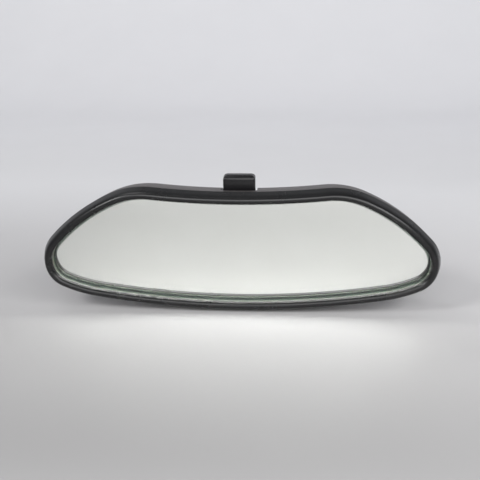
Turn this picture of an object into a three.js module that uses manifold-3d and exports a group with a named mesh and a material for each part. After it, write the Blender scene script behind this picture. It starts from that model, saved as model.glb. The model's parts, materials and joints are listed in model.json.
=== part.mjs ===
// Interior rearview mirror: a prismatic day/night head on a ball stem with a foot and a bonded button.
// Millimetres, +Z up. X runs across the glass, the glass faces -Y, and Z = 0 is the surface it stands on.
// The head stands on its long lower edge with the day/night tab up, and the foot rests behind it.
import * as THREE from "three";
import { mergeVertices } from "three/addons/utils/BufferGeometryUtils.js";
import Module from "manifold-3d";

const wasm = await Module();
wasm.setup();
const { Manifold, Mesh: SolidMesh } = wasm;

// ---------------------------------------------------------------- driving dimensions, mm and degrees

const fit = 0.3; // clearance between two pieces that touch or run on each other

// Head outline: radius and turn of each arc, from the middle of the lower edge to the shoulder.
const headWidth = 250;
const headHeight = 80.2;
const outlineArcs = [[566, 9.3], [90.6, 14.9], [19, 47.9], [22, 60.5], [118.7, 23.9], [51, 29.2]];

// Bezel
const bezelWidth = 6.5; // rim to lip edge, across the face
const ridgeInset = 4.3; // the frontmost line of the face
const rimSetback = 7.8; // rim behind the ridge
const rimThickness = 0.6;
const flankInset = 1.6; // where the straight flank ends and the shoulder starts
const flankSlope = 3.2; // depth the flank gains per inset
const shoulderPoint = 2.15; // inset where the flank's line and the crown's line meet
const crownDepth = 0.5; // where the shoulder ends and the crown starts
const lipSetback = 1.9; // lip edge behind the ridge
const lipCover = 0.3; // how far the lip reaches over the glass's edge
const pocketEnd = 11.7; // depth where the pocket round the glass ends
const skirtWall = 1.9;
const skirtEnd = 13.5; // depth of the skirt's rear edge
const hookWidth = 8;
const hookWall = 1.2;
const hookCatch = 1.5; // how far a barb reaches behind the chassis

// Glass, coat and pad
const glassSetback = 4.5;
const glassThick = 5.6; // at the lower edge
const glassThin = 3; // at the upper edge
const coatGap = 0.1;
const coatThickness = 0.3;
const padGap = 0.15;
const padRear = 12;

// Chassis
const chassisWall = 2.4;
const windowMargin = 1.4; // the hole in front of the ball socket, beyond the socket's outer wall
const bossWall = 2.6;
const bossRound = 1.3; // wall round a screw head
const bossReach = 19; // depth where the chassis bosses end

// Housing
const housingWall = 2.2;
const housingInset = 0.3;
const shoulderInset = 0.9;
const shoulderDepth = 17.5; // the sides run straight to here, then round in
const socketRoom = 1.4; // from the socket's outer wall to the back of the housing
const rearFlatWidth = 0.35; // the flat of the back, as shares of the outline
const rearFlatHeight = 0.45;
const notchGap = 1.3; // each side of the tab
const notchFront = 13.5;
const notchFloor = 60;
const apertureInner = 7.5; // the cone that the stem swings in, at the ball's centre

// Chassis screws
const screwHeadRadius = 2.7;
const screwHeadHeight = 1.7;
const screwShankRadius = 1.2;
const screwLength = 11;
const screwFromTip = 55; // along the width
const screwHeights = [22, 56];

// Day/night tab and its pivot
const pivotDepth = 22.5;
const pivotDrop = 7.3; // below the head's upper edge
const tabWidth = 20;
const tabFront = 16;
const tabThickness = 8;
const tabReach = 15.1; // front of its top, above the pivot
const tabRise = 0.8; // rear of its top, above the front
const tabBevel = 1.2;
const tabCorner = 1.6;
const tabNeck = 5.5; // height of the hub's waist above the pivot
const hubRadius = 4;
const leverThrow = 67.5;
const dipAngle = 4.5;
const pinRadius = 1.5;
const linkRadius = 1.2;
const earWall = 2.2;
const leverEarRadius = 3.2;

// Plate hinge
const hingeHeight = 16;
const knuckleRadius = 3;
const knuckleHalf = 15.6;
const hingeEarWall = 3;

// Plate and fork
const plateThickness = 2;
const plateHalfWidth = 20;
const forkHalf = 5.5;
const prongWall = 1.6;

// Ball, seats and socket
const ballSetback = 3.7; // socket wall behind the chassis
const ballHeight = 39;
const ballRadius = 7.5;
const stemLean = 28; // below the horizontal
const seatWall = 1.7;
const socketWall = 1.8;
const seatGapAngle = 10; // each seat's edge from the ball's equator
const rearSeatMouth = 52; // polar angles from the stem's axis
const capMouth = 56;
const frontSeatMouth = 150;
const flangeThickness = 2.25;
const flangeWidth = 1.2; // beyond the socket's outer wall
const lugRadius = 3.4;
const lugOffset = 2.2; // lug centres beyond the socket's outer wall
const lugAngles = [-90, 30, 150];
const capScrewHead = 2.3;
const capScrewHeadHeight = 1.6;
const capScrewShank = 1.25;
const capScrewLength = 9.5;
const capScrewBoss = 2.8;
const washerRadius = 2.2;
const washerThickness = 0.5;
const washerRise = 0.3;

// Stem, sleeve, foot and button
const neckRadius = 3.2;
const neckEnd = 13;
const shankRadius = 4.5;
const shankStart = 17;
const sleeveStart = 26;
const sleeveWall = 3;
const sleeveFlare = 0.8;
const spigotRadius = 3.5;
const spigotLength = 10;
const footBossRadius = 9;
const footLead = 4.6; // front of the foot before the middle of its boss's mouth
const footLength = 30;
const bossMouthHeight = 17.4;
const footHalfWidth = 14;
const footLift = 1; // underside above the button's bonded face
const footTop = 14;
const footSlope = 5;
const buttonLead = 2; // behind the foot's front
const buttonLength = 24.5;
const buttonThickness = 4.5;
const buttonFaceWidth = 16; // bonded side
const buttonTopWidth = 20;
const setScrewRadius = 2.5;
const setScrewLead = 22; // behind the foot's front
const setScrewSocket = 1.4;

// Leaf that snaps the lever over
const leafWidth = 2.6;
const leafSide = 8;
const leafThickness = 0.4;
const leafLength = 20;
const rivetRadius = 0.9;
const rivetHead = 1.7;
const rivetHeadHeight = 0.7;

const roundSides = 16;
const ballSides = 18;
const outlineStep = 9; // degrees

// ---------------------------------------------------------------- geometry helpers

const radians = THREE.MathUtils.degToRad;
const point2 = (x, y) => new THREE.Vector2(x, y);

function signedVolume(position, index) {
  const [a, b, c] = [0, 1, 2].map(() => new THREE.Vector3());
  let volume = 0;
  for (let i = 0; i < index.length; i += 3) {
    a.fromBufferAttribute(position, index[i]);
    b.fromBufferAttribute(position, index[i + 1]);
    c.fromBufferAttribute(position, index[i + 2]);
    volume += a.dot(b.cross(c)) / 6;
  }
  return volume;
}

// Shared vertices, no collapsed triangles, faces out.
function cleaned(geometry) {
  const bare = geometry.clone();
  bare.deleteAttribute("normal");
  bare.deleteAttribute("uv");
  const merged = mergeVertices(bare, 1e-4);
  const kept = [];
  const index = merged.index.array;
  for (let i = 0; i < index.length; i += 3) {
    const [a, b, c] = [index[i], index[i + 1], index[i + 2]];
    if (a !== b && b !== c && c !== a) kept.push(a, b, c);
  }
  if (signedVolume(merged.attributes.position, kept) < 0) kept.reverse();
  merged.setIndex(kept);
  return merged;
}

function asSolid(shape) {
  if (shape instanceof Manifold) return shape;
  const clean = cleaned(shape);
  return new Manifold(new SolidMesh({
    numProp: 3,
    vertProperties: new Float32Array(clean.attributes.position.array),
    triVerts: new Uint32Array(clean.index.array),
  }));
}

const join = (first, ...rest) => rest.reduce((whole, part) => whole.add(asSolid(part)), asSolid(first));
const cut = (first, ...rest) => rest.reduce((whole, tool) => whole.subtract(asSolid(tool)), asSolid(first));
const common = (first, second) => asSolid(first).intersect(asSolid(second));

function asGeometry(shape) {
  if (!(shape instanceof Manifold)) return cleaned(shape);
  const mesh = shape.getMesh();
  const geometry = new THREE.BufferGeometry();
  geometry.setAttribute("position", new THREE.BufferAttribute(mesh.vertProperties, 3));
  geometry.setIndex([...mesh.triVerts]);
  return geometry;
}

// An extruded outline, laid so that its depth runs along X, Y or Z between two values.
function extruded(shape, depth, curveSegments = 6) {
  return new THREE.ExtrudeGeometry(shape, { depth, bevelEnabled: false, curveSegments });
}

function acrossX(shapeYZ, from, to, curveSegments) {
  const basis = new THREE.Matrix4().makeBasis(
    new THREE.Vector3(0, 1, 0), new THREE.Vector3(0, 0, 1), new THREE.Vector3(1, 0, 0));
  return extruded(shapeYZ, to - from, curveSegments).applyMatrix4(basis).translate(from, 0, 0);
}

function alongY(shapeXZ, from, to, curveSegments) {
  return extruded(shapeXZ, to - from, curveSegments).rotateX(Math.PI / 2).translate(0, to, 0);
}

const polygon = (...corners) => new THREE.Shape(corners.map(([x, y]) => point2(x, y)));

function block(x0, x1, y0, y1, z0, z1) {
  const box = new THREE.BoxGeometry(x1 - x0, y1 - y0, z1 - z0);
  return box.translate((x0 + x1) / 2, (y0 + y1) / 2, (z0 + z1) / 2);
}

// A round rod from one value to another on the X, Y or Z axis through a point.
function rod(radius, axis, from, to, centre = [0, 0, 0], sides = roundSides) {
  const turns = { x: (g) => g.rotateZ(-Math.PI / 2), y: (g) => g, z: (g) => g.rotateX(Math.PI / 2) };
  const along = { x: [1, 0, 0], y: [0, 1, 0], z: [0, 0, 1] }[axis];
  const middle = (from + to) / 2;
  const geometry = turns[axis](new THREE.CylinderGeometry(radius, radius, to - from, sides));
  return geometry.translate(...along.map((share, i) => centre[i] + share * middle));
}

const turned = (profile, sides = roundSides) =>
  new THREE.LatheGeometry(profile.map(([r, s]) => point2(r, s)), sides);

// Points of a sphere's profile, by polar angle from the +Y pole.
function sphereProfile(radius, fromAngle, toAngle, step = 10) {
  const count = Math.max(2, Math.ceil(Math.abs(toAngle - fromAngle) / step));
  return Array.from({ length: count + 1 }, (_, i) => {
    const polar = radians(fromAngle + (toAngle - fromAngle) * i / count);
    return [Math.max(0, radius * Math.sin(polar)), radius * Math.cos(polar)];
  });
}

// A pin with one head, chamfered at its tail, from its head's face at y = 0 towards +Y.
function headedPin(headRadius, headHeight, shankRadius, length, sides = roundSides) {
  const chamfer = shankRadius * 0.3;
  return turned([[0, 0], [headRadius, 0], [headRadius, headHeight], [shankRadius, headHeight],
    [shankRadius, length - chamfer], [shankRadius - chamfer, length], [0, length]], sides);
}

function crossRecess(size, depth) {
  const arm = size * 0.3;
  const long = block(-size, size, -1, depth, -arm / 2, arm / 2);
  const short = block(-arm / 2, arm / 2, -1, depth, -size, size);
  return join(long, short);
}

function screw(headRadius, headHeight, shankRadius, length) {
  const blank = headedPin(headRadius, headHeight, shankRadius, length);
  return cut(blank, crossRecess(headRadius * 0.6, headHeight * 0.6));
}

// ---------------------------------------------------------------- the head's outline

function halfOutline() {
  const points = [point2(0, 0)];
  let heading = 0;
  const follow = (radius, turn, count, side) => {
    const at = points[points.length - 1];
    const centre = point2(at.x - side * radius * Math.sin(heading), at.y + side * radius * Math.cos(heading));
    const start = heading - side * Math.PI / 2;
    const arc = new THREE.ArcCurve(centre.x, centre.y, radius, start, start + side * turn, side < 0);
    points.push(...arc.getPoints(count).slice(1));
    heading += side * turn;
  };
  for (const [radius, turn] of outlineArcs) {
    follow(radius, radians(turn), Math.max(3, Math.ceil(turn / outlineStep)), 1);
  }
  const overturn = heading - Math.PI;
  const waistRadius = points[points.length - 1].x / Math.sin(overturn);
  follow(waistRadius, overturn, 3, -1);
  return points;
}

const drawn = halfOutline();
const drawnHalfWidth = Math.max(...drawn.map((p) => p.x));
const drawnHeight = Math.max(...drawn.map((p) => p.y));
const widthScale = headWidth / 2 / drawnHalfWidth;
const heightScale = headHeight / drawnHeight;
const rightHalf = drawn.map((p) => point2(p.x * widthScale, p.y * heightScale));
rightHalf[rightHalf.length - 1].x = 0;
const leftHalf = rightHalf.slice(1, -1).reverse().map((p) => point2(-p.x, p.y));
const outline = [...rightHalf, ...leftHalf];
const waistHeight = rightHalf[rightHalf.length - 1].y;
const centreHeight = headHeight / 2 - 1;

const inward = outline.map((_, i) => {
  const before = outline[(i + outline.length - 1) % outline.length];
  const after = outline[(i + 1) % outline.length];
  const along = after.clone().sub(before).normalize();
  return point2(-along.y, along.x);
});

// The outline moved in by an inset, shrunk about the head's centre, at a depth that may vary with height.
function loop(inset, depth, shrinkX = 1, shrinkZ = 1) {
  return outline.map((p, i) => {
    const x = (p.x + inward[i].x * inset) * shrinkX;
    const z = centreHeight + (p.y + inward[i].y * inset - centreHeight) * shrinkZ;
    const y = typeof depth === "function" ? depth(z) : depth;
    return new THREE.Vector3(x, y, z);
  });
}

// A skin over loops of equal count: closed on itself as a ring, or with a flat end on each end loop.
function loft(loops, ring = false) {
  const count = loops[0].length;
  const triangles = [];
  const bands = ring ? loops.length : loops.length - 1;
  for (let i = 0; i < bands; i += 1) {
    const near = i * count;
    const far = ((i + 1) % loops.length) * count;
    for (let k = 0; k < count; k += 1) {
      const next = (k + 1) % count;
      triangles.push(near + k, near + next, far + next, near + k, far + next, far + k);
    }
  }
  if (!ring) {
    const flat = (points) => points.map((p) => point2(p.x, p.z));
    const last = (loops.length - 1) * count;
    for (const [a, b, c] of THREE.ShapeUtils.triangulateShape(flat(loops[0]), [])) triangles.push(c, b, a);
    for (const [a, b, c] of THREE.ShapeUtils.triangulateShape(flat(loops[loops.length - 1]), [])) {
      triangles.push(last + a, last + b, last + c);
    }
  }
  const geometry = new THREE.BufferGeometry().setFromPoints(loops.flat());
  geometry.setIndex(triangles);
  return geometry;
}

// A frame on the outline's upper or lower edge at a given x: along the edge, forward, and into the head.
function edgeFrame(x, upper) {
  const n = outline.length;
  const i = outline.findIndex((p, k) => {
    const q = outline[(k + 1) % n];
    const level = (p.y + q.y) / 2 > centreHeight;
    return level === upper && (p.x - x) * (q.x - x) <= 0 && p.x !== q.x;
  });
  const [p, q] = [outline[i], outline[(i + 1) % n]];
  const at = p.clone().lerp(q, (x - p.x) / (q.x - p.x));
  const along = q.clone().sub(p).normalize();
  const alongEdge = new THREE.Vector3(along.x, 0, along.y);
  const forward = new THREE.Vector3(0, -1, 0);
  const intoHead = new THREE.Vector3(-along.y, 0, along.x);
  return new THREE.Matrix4().makeBasis(alongEdge, forward, intoHead).setPosition(at.x, 0, at.y);
}

// ---------------------------------------------------------------- derived places

const rimFront = rimSetback;
const rimRear = rimSetback + rimThickness;
const housingFront = rimRear + fit;
const skirtInset = shoulderInset + housingWall + fit;
const skirtInner = skirtInset + skirtWall;
const glassInset = bezelWidth - lipCover;
const pocketInset = glassInset - fit;
const chassisInset = skirtInner + fit;
const chassisFront = padRear + fit;
const chassisRear = chassisFront + chassisWall;

const glassLow = outline[0].y + glassInset;
const glassHigh = waistHeight - glassInset;
const glassRear = (z) => {
  const share = (z - glassLow) / (glassHigh - glassLow);
  return glassSetback + glassThick + (glassThin - glassThick) * share;
};
const behindGlass = (offset) => (z) => glassRear(z) + offset;

const pivotHeight = waistHeight - pivotDrop;
const leafFoot = pivotHeight - leafLength;
const rivetHeight = leafFoot + 2.5;
const pinHole = pinRadius + fit;
const linkHole = linkRadius + fit;
const halfThrow = radians(leverThrow) / 2;
// The crank that turns the lever's throw into the dip at the top of the plate.
const crank = (pivotHeight - hingeHeight) * Math.sin(radians(dipAngle))
  / (2 * Math.sin(halfThrow) + Math.sin(radians(dipAngle)));
const linkOffset = [crank * Math.sin(halfThrow), -crank * Math.cos(halfThrow)];
const linkDepth = pivotDepth + linkOffset[0];
const linkHeight = pivotHeight + linkOffset[1];

const seatInner = ballRadius + fit;
const seatOuter = seatInner + seatWall;
const socketInner = seatOuter + fit;
const socketOuter = socketInner + socketWall;

const chassisWindow = socketOuter + windowMargin;
const ballDepth = chassisRear + ballSetback + socketOuter;
const housingDepth = ballDepth + socketOuter + socketRoom;

const bossStart = (ballHeight - bossMouthHeight) / Math.sin(radians(stemLean)); // along the stem
const footFront = ballDepth + bossStart * Math.cos(radians(stemLean)) - footLead;
const footRear = footFront + footLength;
const buttonFront = footFront + buttonLead;
const buttonRear = buttonFront + buttonLength;
const setScrewDepth = footFront + setScrewLead;

const objectDepth = footRear;

// ---------------------------------------------------------------- the assembly

const finishes = {
  bezelPlastic: { color: 0x2d2d2f, roughness: 0.55, metalness: 0 },
  housingPlastic: { color: 0x4a4848, roughness: 0.5, metalness: 0 },
  tabPlastic: { color: 0x2b2b2d, roughness: 0.45, metalness: 0 },
  chassisPlastic: { color: 0x1f1f20, roughness: 0.7, metalness: 0 },
  nylon: { color: 0xe6e2d6, roughness: 0.4, metalness: 0 },
  glass: { color: 0xb9cbbd, roughness: 0.02, metalness: 0 },
  silver: { color: 0xe4e6e6, roughness: 0.04, metalness: 1 },
  foam: { color: 0x3a3a3c, roughness: 0.95, metalness: 0 },
  steel: { color: 0xa9abad, roughness: 0.35, metalness: 1 },
  springSteel: { color: 0x8d9094, roughness: 0.3, metalness: 1 },
  zinc: { color: 0x3c3d40, roughness: 0.5, metalness: 0.6 },
};
const materials = Object.fromEntries(Object.entries(finishes).map(
  ([name, look]) => [name, new THREE.MeshStandardMaterial({ name, ...look })]));

const mirror = new THREE.Group();
mirror.position.y = -objectDepth / 2;

const socketFrame = new THREE.Group();
socketFrame.position.set(0, ballDepth, ballHeight);
socketFrame.rotation.x = -radians(stemLean);
socketFrame.updateMatrix();
mirror.add(socketFrame);
const inSocketFrame = (geometry) => geometry.applyMatrix4(socketFrame.matrix);

function add(name, shape, finish, parent = mirror) {
  const mesh = new THREE.Mesh(asGeometry(shape), materials[finish]);
  mesh.name = name;
  parent.add(mesh);
  return mesh;
}

// ---------------------------------------------------------------- bezel, glass, coat and pad

const hookPlaces = [[-1, true], [1, true], [-1, false], [1, false]]
  .map(([side, upper]) => edgeFrame(side * headWidth * 0.24, upper));

function hook(place) {
  const outerInset = skirtInner - hookWall;
  const barbFront = chassisRear + fit;
  const barbRear = barbFront + hookWall;
  const half = hookWidth / 2;
  const leg = block(-half, half, -barbRear, -skirtEnd + 1, outerInset, skirtInner);
  const barb = block(-half, half, -barbRear, -barbFront, outerInset, skirtInner + hookCatch);
  return join(leg, barb).transform([...place.elements]);
}

// From the rim the face goes up a straight flank, over a shoulder and a crown to the ridge, and then
// down a quarter ellipse to the lip. Points are [inset, depth].
const bend = (start, corner, end, shares) => shares.map((t) =>
  start.map((value, k) => (1 - t) ** 2 * value + 2 * t * (1 - t) * corner[k] + t ** 2 * end[k]));
const flankEnd = [flankInset, rimFront - flankSlope * flankInset];
const shoulderCorner = [shoulderPoint, rimFront - flankSlope * shoulderPoint];
const crownStart = [2 * shoulderPoint - flankInset, crownDepth];
const crownSlope = (shoulderCorner[1] - crownDepth) / (crownStart[0] - shoulderPoint);
const crownCorner = [crownStart[0] + crownDepth / crownSlope, 0];
const outerFace = [
  [0, rimFront], flankEnd, ...bend(flankEnd, shoulderCorner, crownStart, [0.4, 0.7, 1]),
  ...bend(crownStart, crownCorner, [ridgeInset, 0], [1]),
].map((point) => loop(...point));
const innerFace = [50, 90].map(radians).map((turn) =>
  loop(ridgeInset + (bezelWidth - ridgeInset) * Math.sin(turn), lipSetback * (1 - Math.cos(turn))));
const bezelRing = loft([
  loop(0, rimRear), ...outerFace, ...innerFace, loop(bezelWidth, glassSetback - fit),
  loop(pocketInset, glassSetback - fit), loop(pocketInset, pocketEnd), loop(skirtInner, pocketEnd),
  loop(skirtInner, skirtEnd), loop(skirtInset, skirtEnd), loop(skirtInset, rimRear),
], true);
add("bezel_frame", join(bezelRing, ...hookPlaces.map(hook)), "bezelPlastic");

add("prism_glass", loft([loop(glassInset, glassSetback), loop(glassInset, glassRear)]), "glass");
add("silver_coat", loft([
  loop(glassInset, behindGlass(coatGap)), loop(glassInset, behindGlass(coatGap + coatThickness)),
]), "silver");
add("foam_pad", loft([
  loop(glassInset, behindGlass(coatGap + coatThickness + padGap)), loop(glassInset, padRear),
]), "foam");

// ---------------------------------------------------------------- chassis

const screwPlaces = [-1, 1].flatMap((side) =>
  screwHeights.map((height) => [side * (headWidth / 2 - screwFromTip), height]));
const screwSeat = bossReach - bossWall; // depth of the screw head's underside
const shankHole = screwShankRadius + fit;

// An ear off the chassis that carries a pin along X.
function ear(from, to, depth, height, radius) {
  const shape = new THREE.Shape();
  shape.moveTo(chassisRear - 1, height - radius);
  shape.lineTo(depth, height - radius);
  shape.absarc(depth, height, radius, -Math.PI / 2, Math.PI / 2, false);
  shape.lineTo(chassisRear - 1, height + radius);
  return acrossX(shape, from, to);
}

const leverEarInner = tabWidth / 2 + fit;
const hingeEarInner = knuckleHalf + fit;
const ears = [-1, 1].flatMap((side) => {
  const pair = (inner, wall) => [side * inner, side * (inner + wall)].sort((a, b) => a - b);
  return [
    ear(...pair(leverEarInner, earWall), pivotDepth, pivotHeight, leverEarRadius),
    ear(...pair(hingeEarInner, hingeEarWall), pivotDepth, hingeHeight, knuckleRadius),
  ];
});
const chassisBosses = screwPlaces.map(([x, z]) =>
  rod(screwHeadRadius + fit + bossRound, "y", chassisRear - 1, bossReach, [x, 0, z], 14));
const counterbores = screwPlaces.map(([x, z]) =>
  rod(screwHeadRadius + fit, "y", chassisFront - 1, screwSeat, [x, 0, z]));
const chassisShankHoles = screwPlaces.map(([x, z]) =>
  rod(shankHole, "y", chassisFront, bossReach + 1, [x, 0, z]));
const rivetHole = rod(rivetRadius + fit, "y", chassisFront - 1, chassisRear + 1, [leafSide, 0, rivetHeight]);
const chassisPlate = loft([loop(chassisInset, chassisFront), loop(chassisInset, chassisRear)]);
add("chassis", cut(
  join(chassisPlate, ...ears, ...chassisBosses),
  ...counterbores, ...chassisShankHoles, rivetHole,
  rod(chassisWindow, "y", chassisFront - 1, chassisRear + 1, [0, 0, ballHeight], 28),
  rod(pinHole, "x", -30, 30, [0, pivotDepth, pivotHeight]),
  rod(pinHole, "x", -30, 30, [0, pivotDepth, hingeHeight]),
), "chassisPlastic");

screwPlaces.forEach(([x, z], i) => {
  const piece = screw(screwHeadRadius, screwHeadHeight, screwShankRadius, screwLength);
  const mesh = add(`chassis_screw_${i + 1}`, piece, "steel");
  mesh.position.set(x, screwSeat - fit - screwHeadHeight, z);
});

// ---------------------------------------------------------------- housing

function domeLoops(wall) {
  const rear = housingDepth - wall;
  const steps = [0, 20, 42, 66, 90].map(radians);
  return steps.map((turn) => {
    const rounding = 1 - Math.cos(turn);
    const depth = shoulderDepth + (rear - shoulderDepth) * Math.sin(turn);
    const [shrinkX, shrinkZ] = [rearFlatWidth, rearFlatHeight].map((share) => 1 - (1 - share) * rounding);
    return loop(shoulderInset + wall, depth, shrinkX, shrinkZ);
  });
}

const housingOuter = asSolid(loft([loop(housingInset, housingFront), ...domeLoops(0)]));
const housingInner = loft([
  loop(housingInset + housingWall, housingFront - 1), loop(housingInset + housingWall, housingFront),
  ...domeLoops(housingWall),
]);
const housingBosses = screwPlaces.map(([x, z]) =>
  common(rod(screwHeadRadius + 0.6, "y", bossReach + fit, housingDepth, [x, 0, z]), housingOuter));
const bossHoles = screwPlaces.map(([x, z]) =>
  rod(shankHole, "y", bossReach - 1, screwSeat + screwLength, [x, 0, z]));
const notchHalf = tabWidth / 2 + notchGap;
const notch = block(-notchHalf, notchHalf, notchFront, housingDepth + 10, notchFloor, headHeight + 10);
const swing = 31; // degrees that the stem can lean any way from rest
const apertureLength = 30;
const apertureMouth = apertureInner + apertureLength * Math.tan(radians(swing));
const aperture = inSocketFrame(turned([[0, -1], [apertureInner, -1], [apertureInner, 0],
  [apertureMouth, apertureLength], [0, apertureLength]], 32));
add("rear_housing", cut(
  join(cut(housingOuter, housingInner), ...housingBosses),
  ...bossHoles, notch, aperture,
), "housingPlastic");

// ---------------------------------------------------------------- lever, its pins and the leaf

const leverPivot = new THREE.Group();
leverPivot.position.set(0, pivotDepth, pivotHeight);
mirror.add(leverPivot);

function leverShape() {
  const front = tabFront - pivotDepth;
  const rear = front + tabThickness;
  const shape = new THREE.Shape();
  shape.moveTo(-hubRadius, 0);
  shape.absarc(0, 0, hubRadius, Math.PI, 2 * Math.PI, false);
  shape.lineTo(rear + 1.5, tabNeck);
  shape.lineTo(rear, tabNeck + 2.5);
  shape.lineTo(rear, tabReach + tabRise - tabBevel);
  shape.lineTo(rear - tabBevel, tabReach + tabRise);
  shape.lineTo(front + tabBevel, tabReach);
  shape.lineTo(front, tabReach - tabBevel);
  shape.lineTo(front, tabNeck);
  return acrossX(shape, -tabWidth / 2, tabWidth / 2, 8);
}

function tabFace() {
  const half = tabWidth / 2;
  const top = tabReach + tabRise;
  const corner = tabCorner;
  const shape = new THREE.Shape();
  shape.moveTo(-half, -10);
  shape.lineTo(half, -10);
  shape.lineTo(half, top - corner);
  shape.absarc(half - corner, top - corner, corner, 0, Math.PI / 2, false);
  shape.lineTo(-half + corner, top);
  shape.absarc(-half + corner, top - corner, corner, Math.PI / 2, Math.PI, false);
  return alongY(shape, -20, 20, 3);
}

const forkSlotHalf = forkHalf + fit;
add("dip_lever", cut(
  common(leverShape(), tabFace()),
  block(-forkSlotHalf, forkSlotHalf, -10, 10, -10, hubRadius + 0.6),
  rod(pinHole, "x", -30, 30),
  rod(linkHole, "x", -30, 30, [0, ...linkOffset], 14),
), "tabPlastic", leverPivot);
add("link_pin", rod(linkRadius, "x", -tabWidth / 2 + 0.4, tabWidth / 2 - 0.4, [0, ...linkOffset], 14),
  "steel", leverPivot);

// A pin along X through a pair of ears, with its head outside one ear and a clip outside the other.
function crossPin(name, earOuter, height) {
  const headHeight = 0.9;
  const tail = 2.2;
  const length = headHeight + 2 * earOuter + 2 * fit + tail;
  const pin = headedPin(pinRadius + 1, headHeight, pinRadius, length, 16).rotateZ(-Math.PI / 2);
  const mesh = add(`${name}_pin`, pin, "steel");
  mesh.position.set(-earOuter - fit - headHeight, pivotDepth, height);
  const clip = new THREE.Shape();
  clip.absarc(0, 0, pinRadius + 1.2, radians(35), radians(325), false);
  clip.absarc(0, 0, pinRadius + 0.2, radians(325), radians(35), true);
  const ring = add(`${name}_clip`, acrossX(clip, 0, 0.8, 10), "springSteel");
  ring.position.set(earOuter + fit, pivotDepth, height);
}

crossPin("lever", leverEarInner + earWall, pivotHeight);
crossPin("hinge", hingeEarInner + hingeEarWall, hingeHeight);

function leafStrip() {
  const flat = chassisRear + fit;
  const touch = pivotDepth - hubRadius - fit - leafThickness;
  const line = [[flat, leafLength], [flat, 11], [touch, 4.5], [touch, 1.5], [touch - 0.6, 0.2]]
    .map(([depth, drop]) => [depth, pivotHeight - drop]);
  const back = line.map(([y, z]) => [y + leafThickness, z]).reverse();
  return acrossX(polygon(...line, ...back), leafSide - leafWidth / 2, leafSide + leafWidth / 2);
}

const rivetSpan = chassisWall + 2 * fit + leafThickness;
const leafHole = rod(rivetRadius + fit, "y", chassisRear - 1, chassisRear + 3, [leafSide, 0, rivetHeight]);
add("detent_leaf", cut(leafStrip(), leafHole), "springSteel");
const rivet = headedPin(rivetHead, rivetHeadHeight, rivetRadius, rivetHeadHeight + rivetSpan, 12);
rivet.rotateZ(Math.PI);
const rivetTop = chassisRear + 2 * fit + leafThickness + rivetHeadHeight;
add("leaf_rivet", rivet, "steel").position.set(leafSide, rivetTop, rivetHeight);

// ---------------------------------------------------------------- pivot plate and ball socket

const flangeGap = fit / 2; // each flange face from the ball's equator
const flangeTop = flangeGap + flangeThickness;
const flangeAngle = THREE.MathUtils.radToDeg(Math.asin(flangeTop / socketOuter));
const flangeRadius = socketOuter + flangeWidth;
const lugCircle = socketOuter + lugOffset;
const plateFront = pivotDepth - plateThickness / 2;
const lugPlaces = lugAngles.map((angle) =>
  [lugCircle * Math.cos(radians(angle)), lugCircle * Math.sin(radians(angle))]);

const cupProfile = [
  ...sphereProfile(socketOuter, 180, 90 + flangeAngle),
  [flangeRadius, -flangeTop], [flangeRadius, -flangeGap],
  ...sphereProfile(socketInner, 91, 180, 12),
];
const cupLugs = lugPlaces.map(([x, z]) => join(
  rod(lugRadius, "y", -flangeTop, -flangeGap, [x, 0, z]),
  rod(capScrewBoss, "y", -capScrewLength + 2, -flangeGap, [x, 0, z], 16),
));
const toHead = (shape) => shape.transform([...socketFrame.matrix.elements]);
const cup = toHead(join(turned(cupProfile, ballSides), ...cupLugs));
const sheetTop = linkHeight - linkRadius - 1.7;
const kneeHeight = hingeHeight + knuckleRadius + 1;
const hipHeight = kneeHeight + plateHalfWidth - knuckleHalf;
const brow = (ballHeight + sheetTop) / 2; // where the sheet starts to narrow
const sheetSide = [[knuckleHalf, hingeHeight], [knuckleHalf, kneeHeight], [plateHalfWidth, hipHeight],
  [plateHalfWidth, brow], [forkHalf, sheetTop]];
const otherSide = sheetSide.map(([x, z]) => [-x, z]).reverse();
const sheet = alongY(polygon(...sheetSide, ...otherSide), plateFront, plateFront + plateThickness);
const prongTop = linkHeight + 0.6;
const forkFront = linkDepth - linkHole - prongWall;
const forkRear = linkDepth + linkHole + prongWall;
const fork = cut(
  block(-forkHalf, forkHalf, forkFront, forkRear, sheetTop - 4, prongTop),
  block(-forkHalf - 1, forkHalf + 1, linkDepth - linkHole, linkDepth + linkHole, sheetTop, prongTop + 1),
);
const knuckle = rod(knuckleRadius, "x", -knuckleHalf, knuckleHalf, [0, pivotDepth, hingeHeight]);
const capRoom = toHead(join(
  rod(flangeRadius + fit, "y", -flangeGap, 20, [0, 0, 0], ballSides),
  ...lugPlaces.map(([x, z]) => rod(lugRadius + fit, "y", -flangeGap, 20, [x, 0, z])),
));
const capScrewHoles = lugPlaces.map(([x, z]) =>
  toHead(asSolid(rod(capScrewShank + fit, "y", -capScrewLength + 3, 5, [x, 0, z], 14))));
const middleOfWall = socketInner + socketWall / 2;
const ballRoom = toHead(asSolid(turned(sphereProfile(middleOfWall, 0, 180, 20), ballSides)));
add("pivot_plate", cut(
  join(cut(sheet, capRoom, ballRoom), fork, knuckle, cup),
  ...capScrewHoles,
  rod(pinHole, "x", -30, 30, [0, pivotDepth, hingeHeight]),
), "zinc");

const capProfile = [
  ...sphereProfile(socketInner, capMouth, 89), [flangeRadius, flangeGap], [flangeRadius, flangeTop],
  ...sphereProfile(socketOuter, 90 - flangeAngle, capMouth),
];
capProfile.push(capProfile[0]);
const capLugs = lugPlaces.map(([x, z]) =>
  rod(lugRadius, "y", flangeGap, flangeTop, [x, 0, z]));
const capHoles = lugPlaces.map(([x, z]) => rod(capScrewShank + fit, "y", -2, 5, [x, 0, z], 14));
add("socket_cap", cut(join(turned(capProfile, ballSides), ...capLugs), ...capHoles), "zinc", socketFrame);

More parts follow.
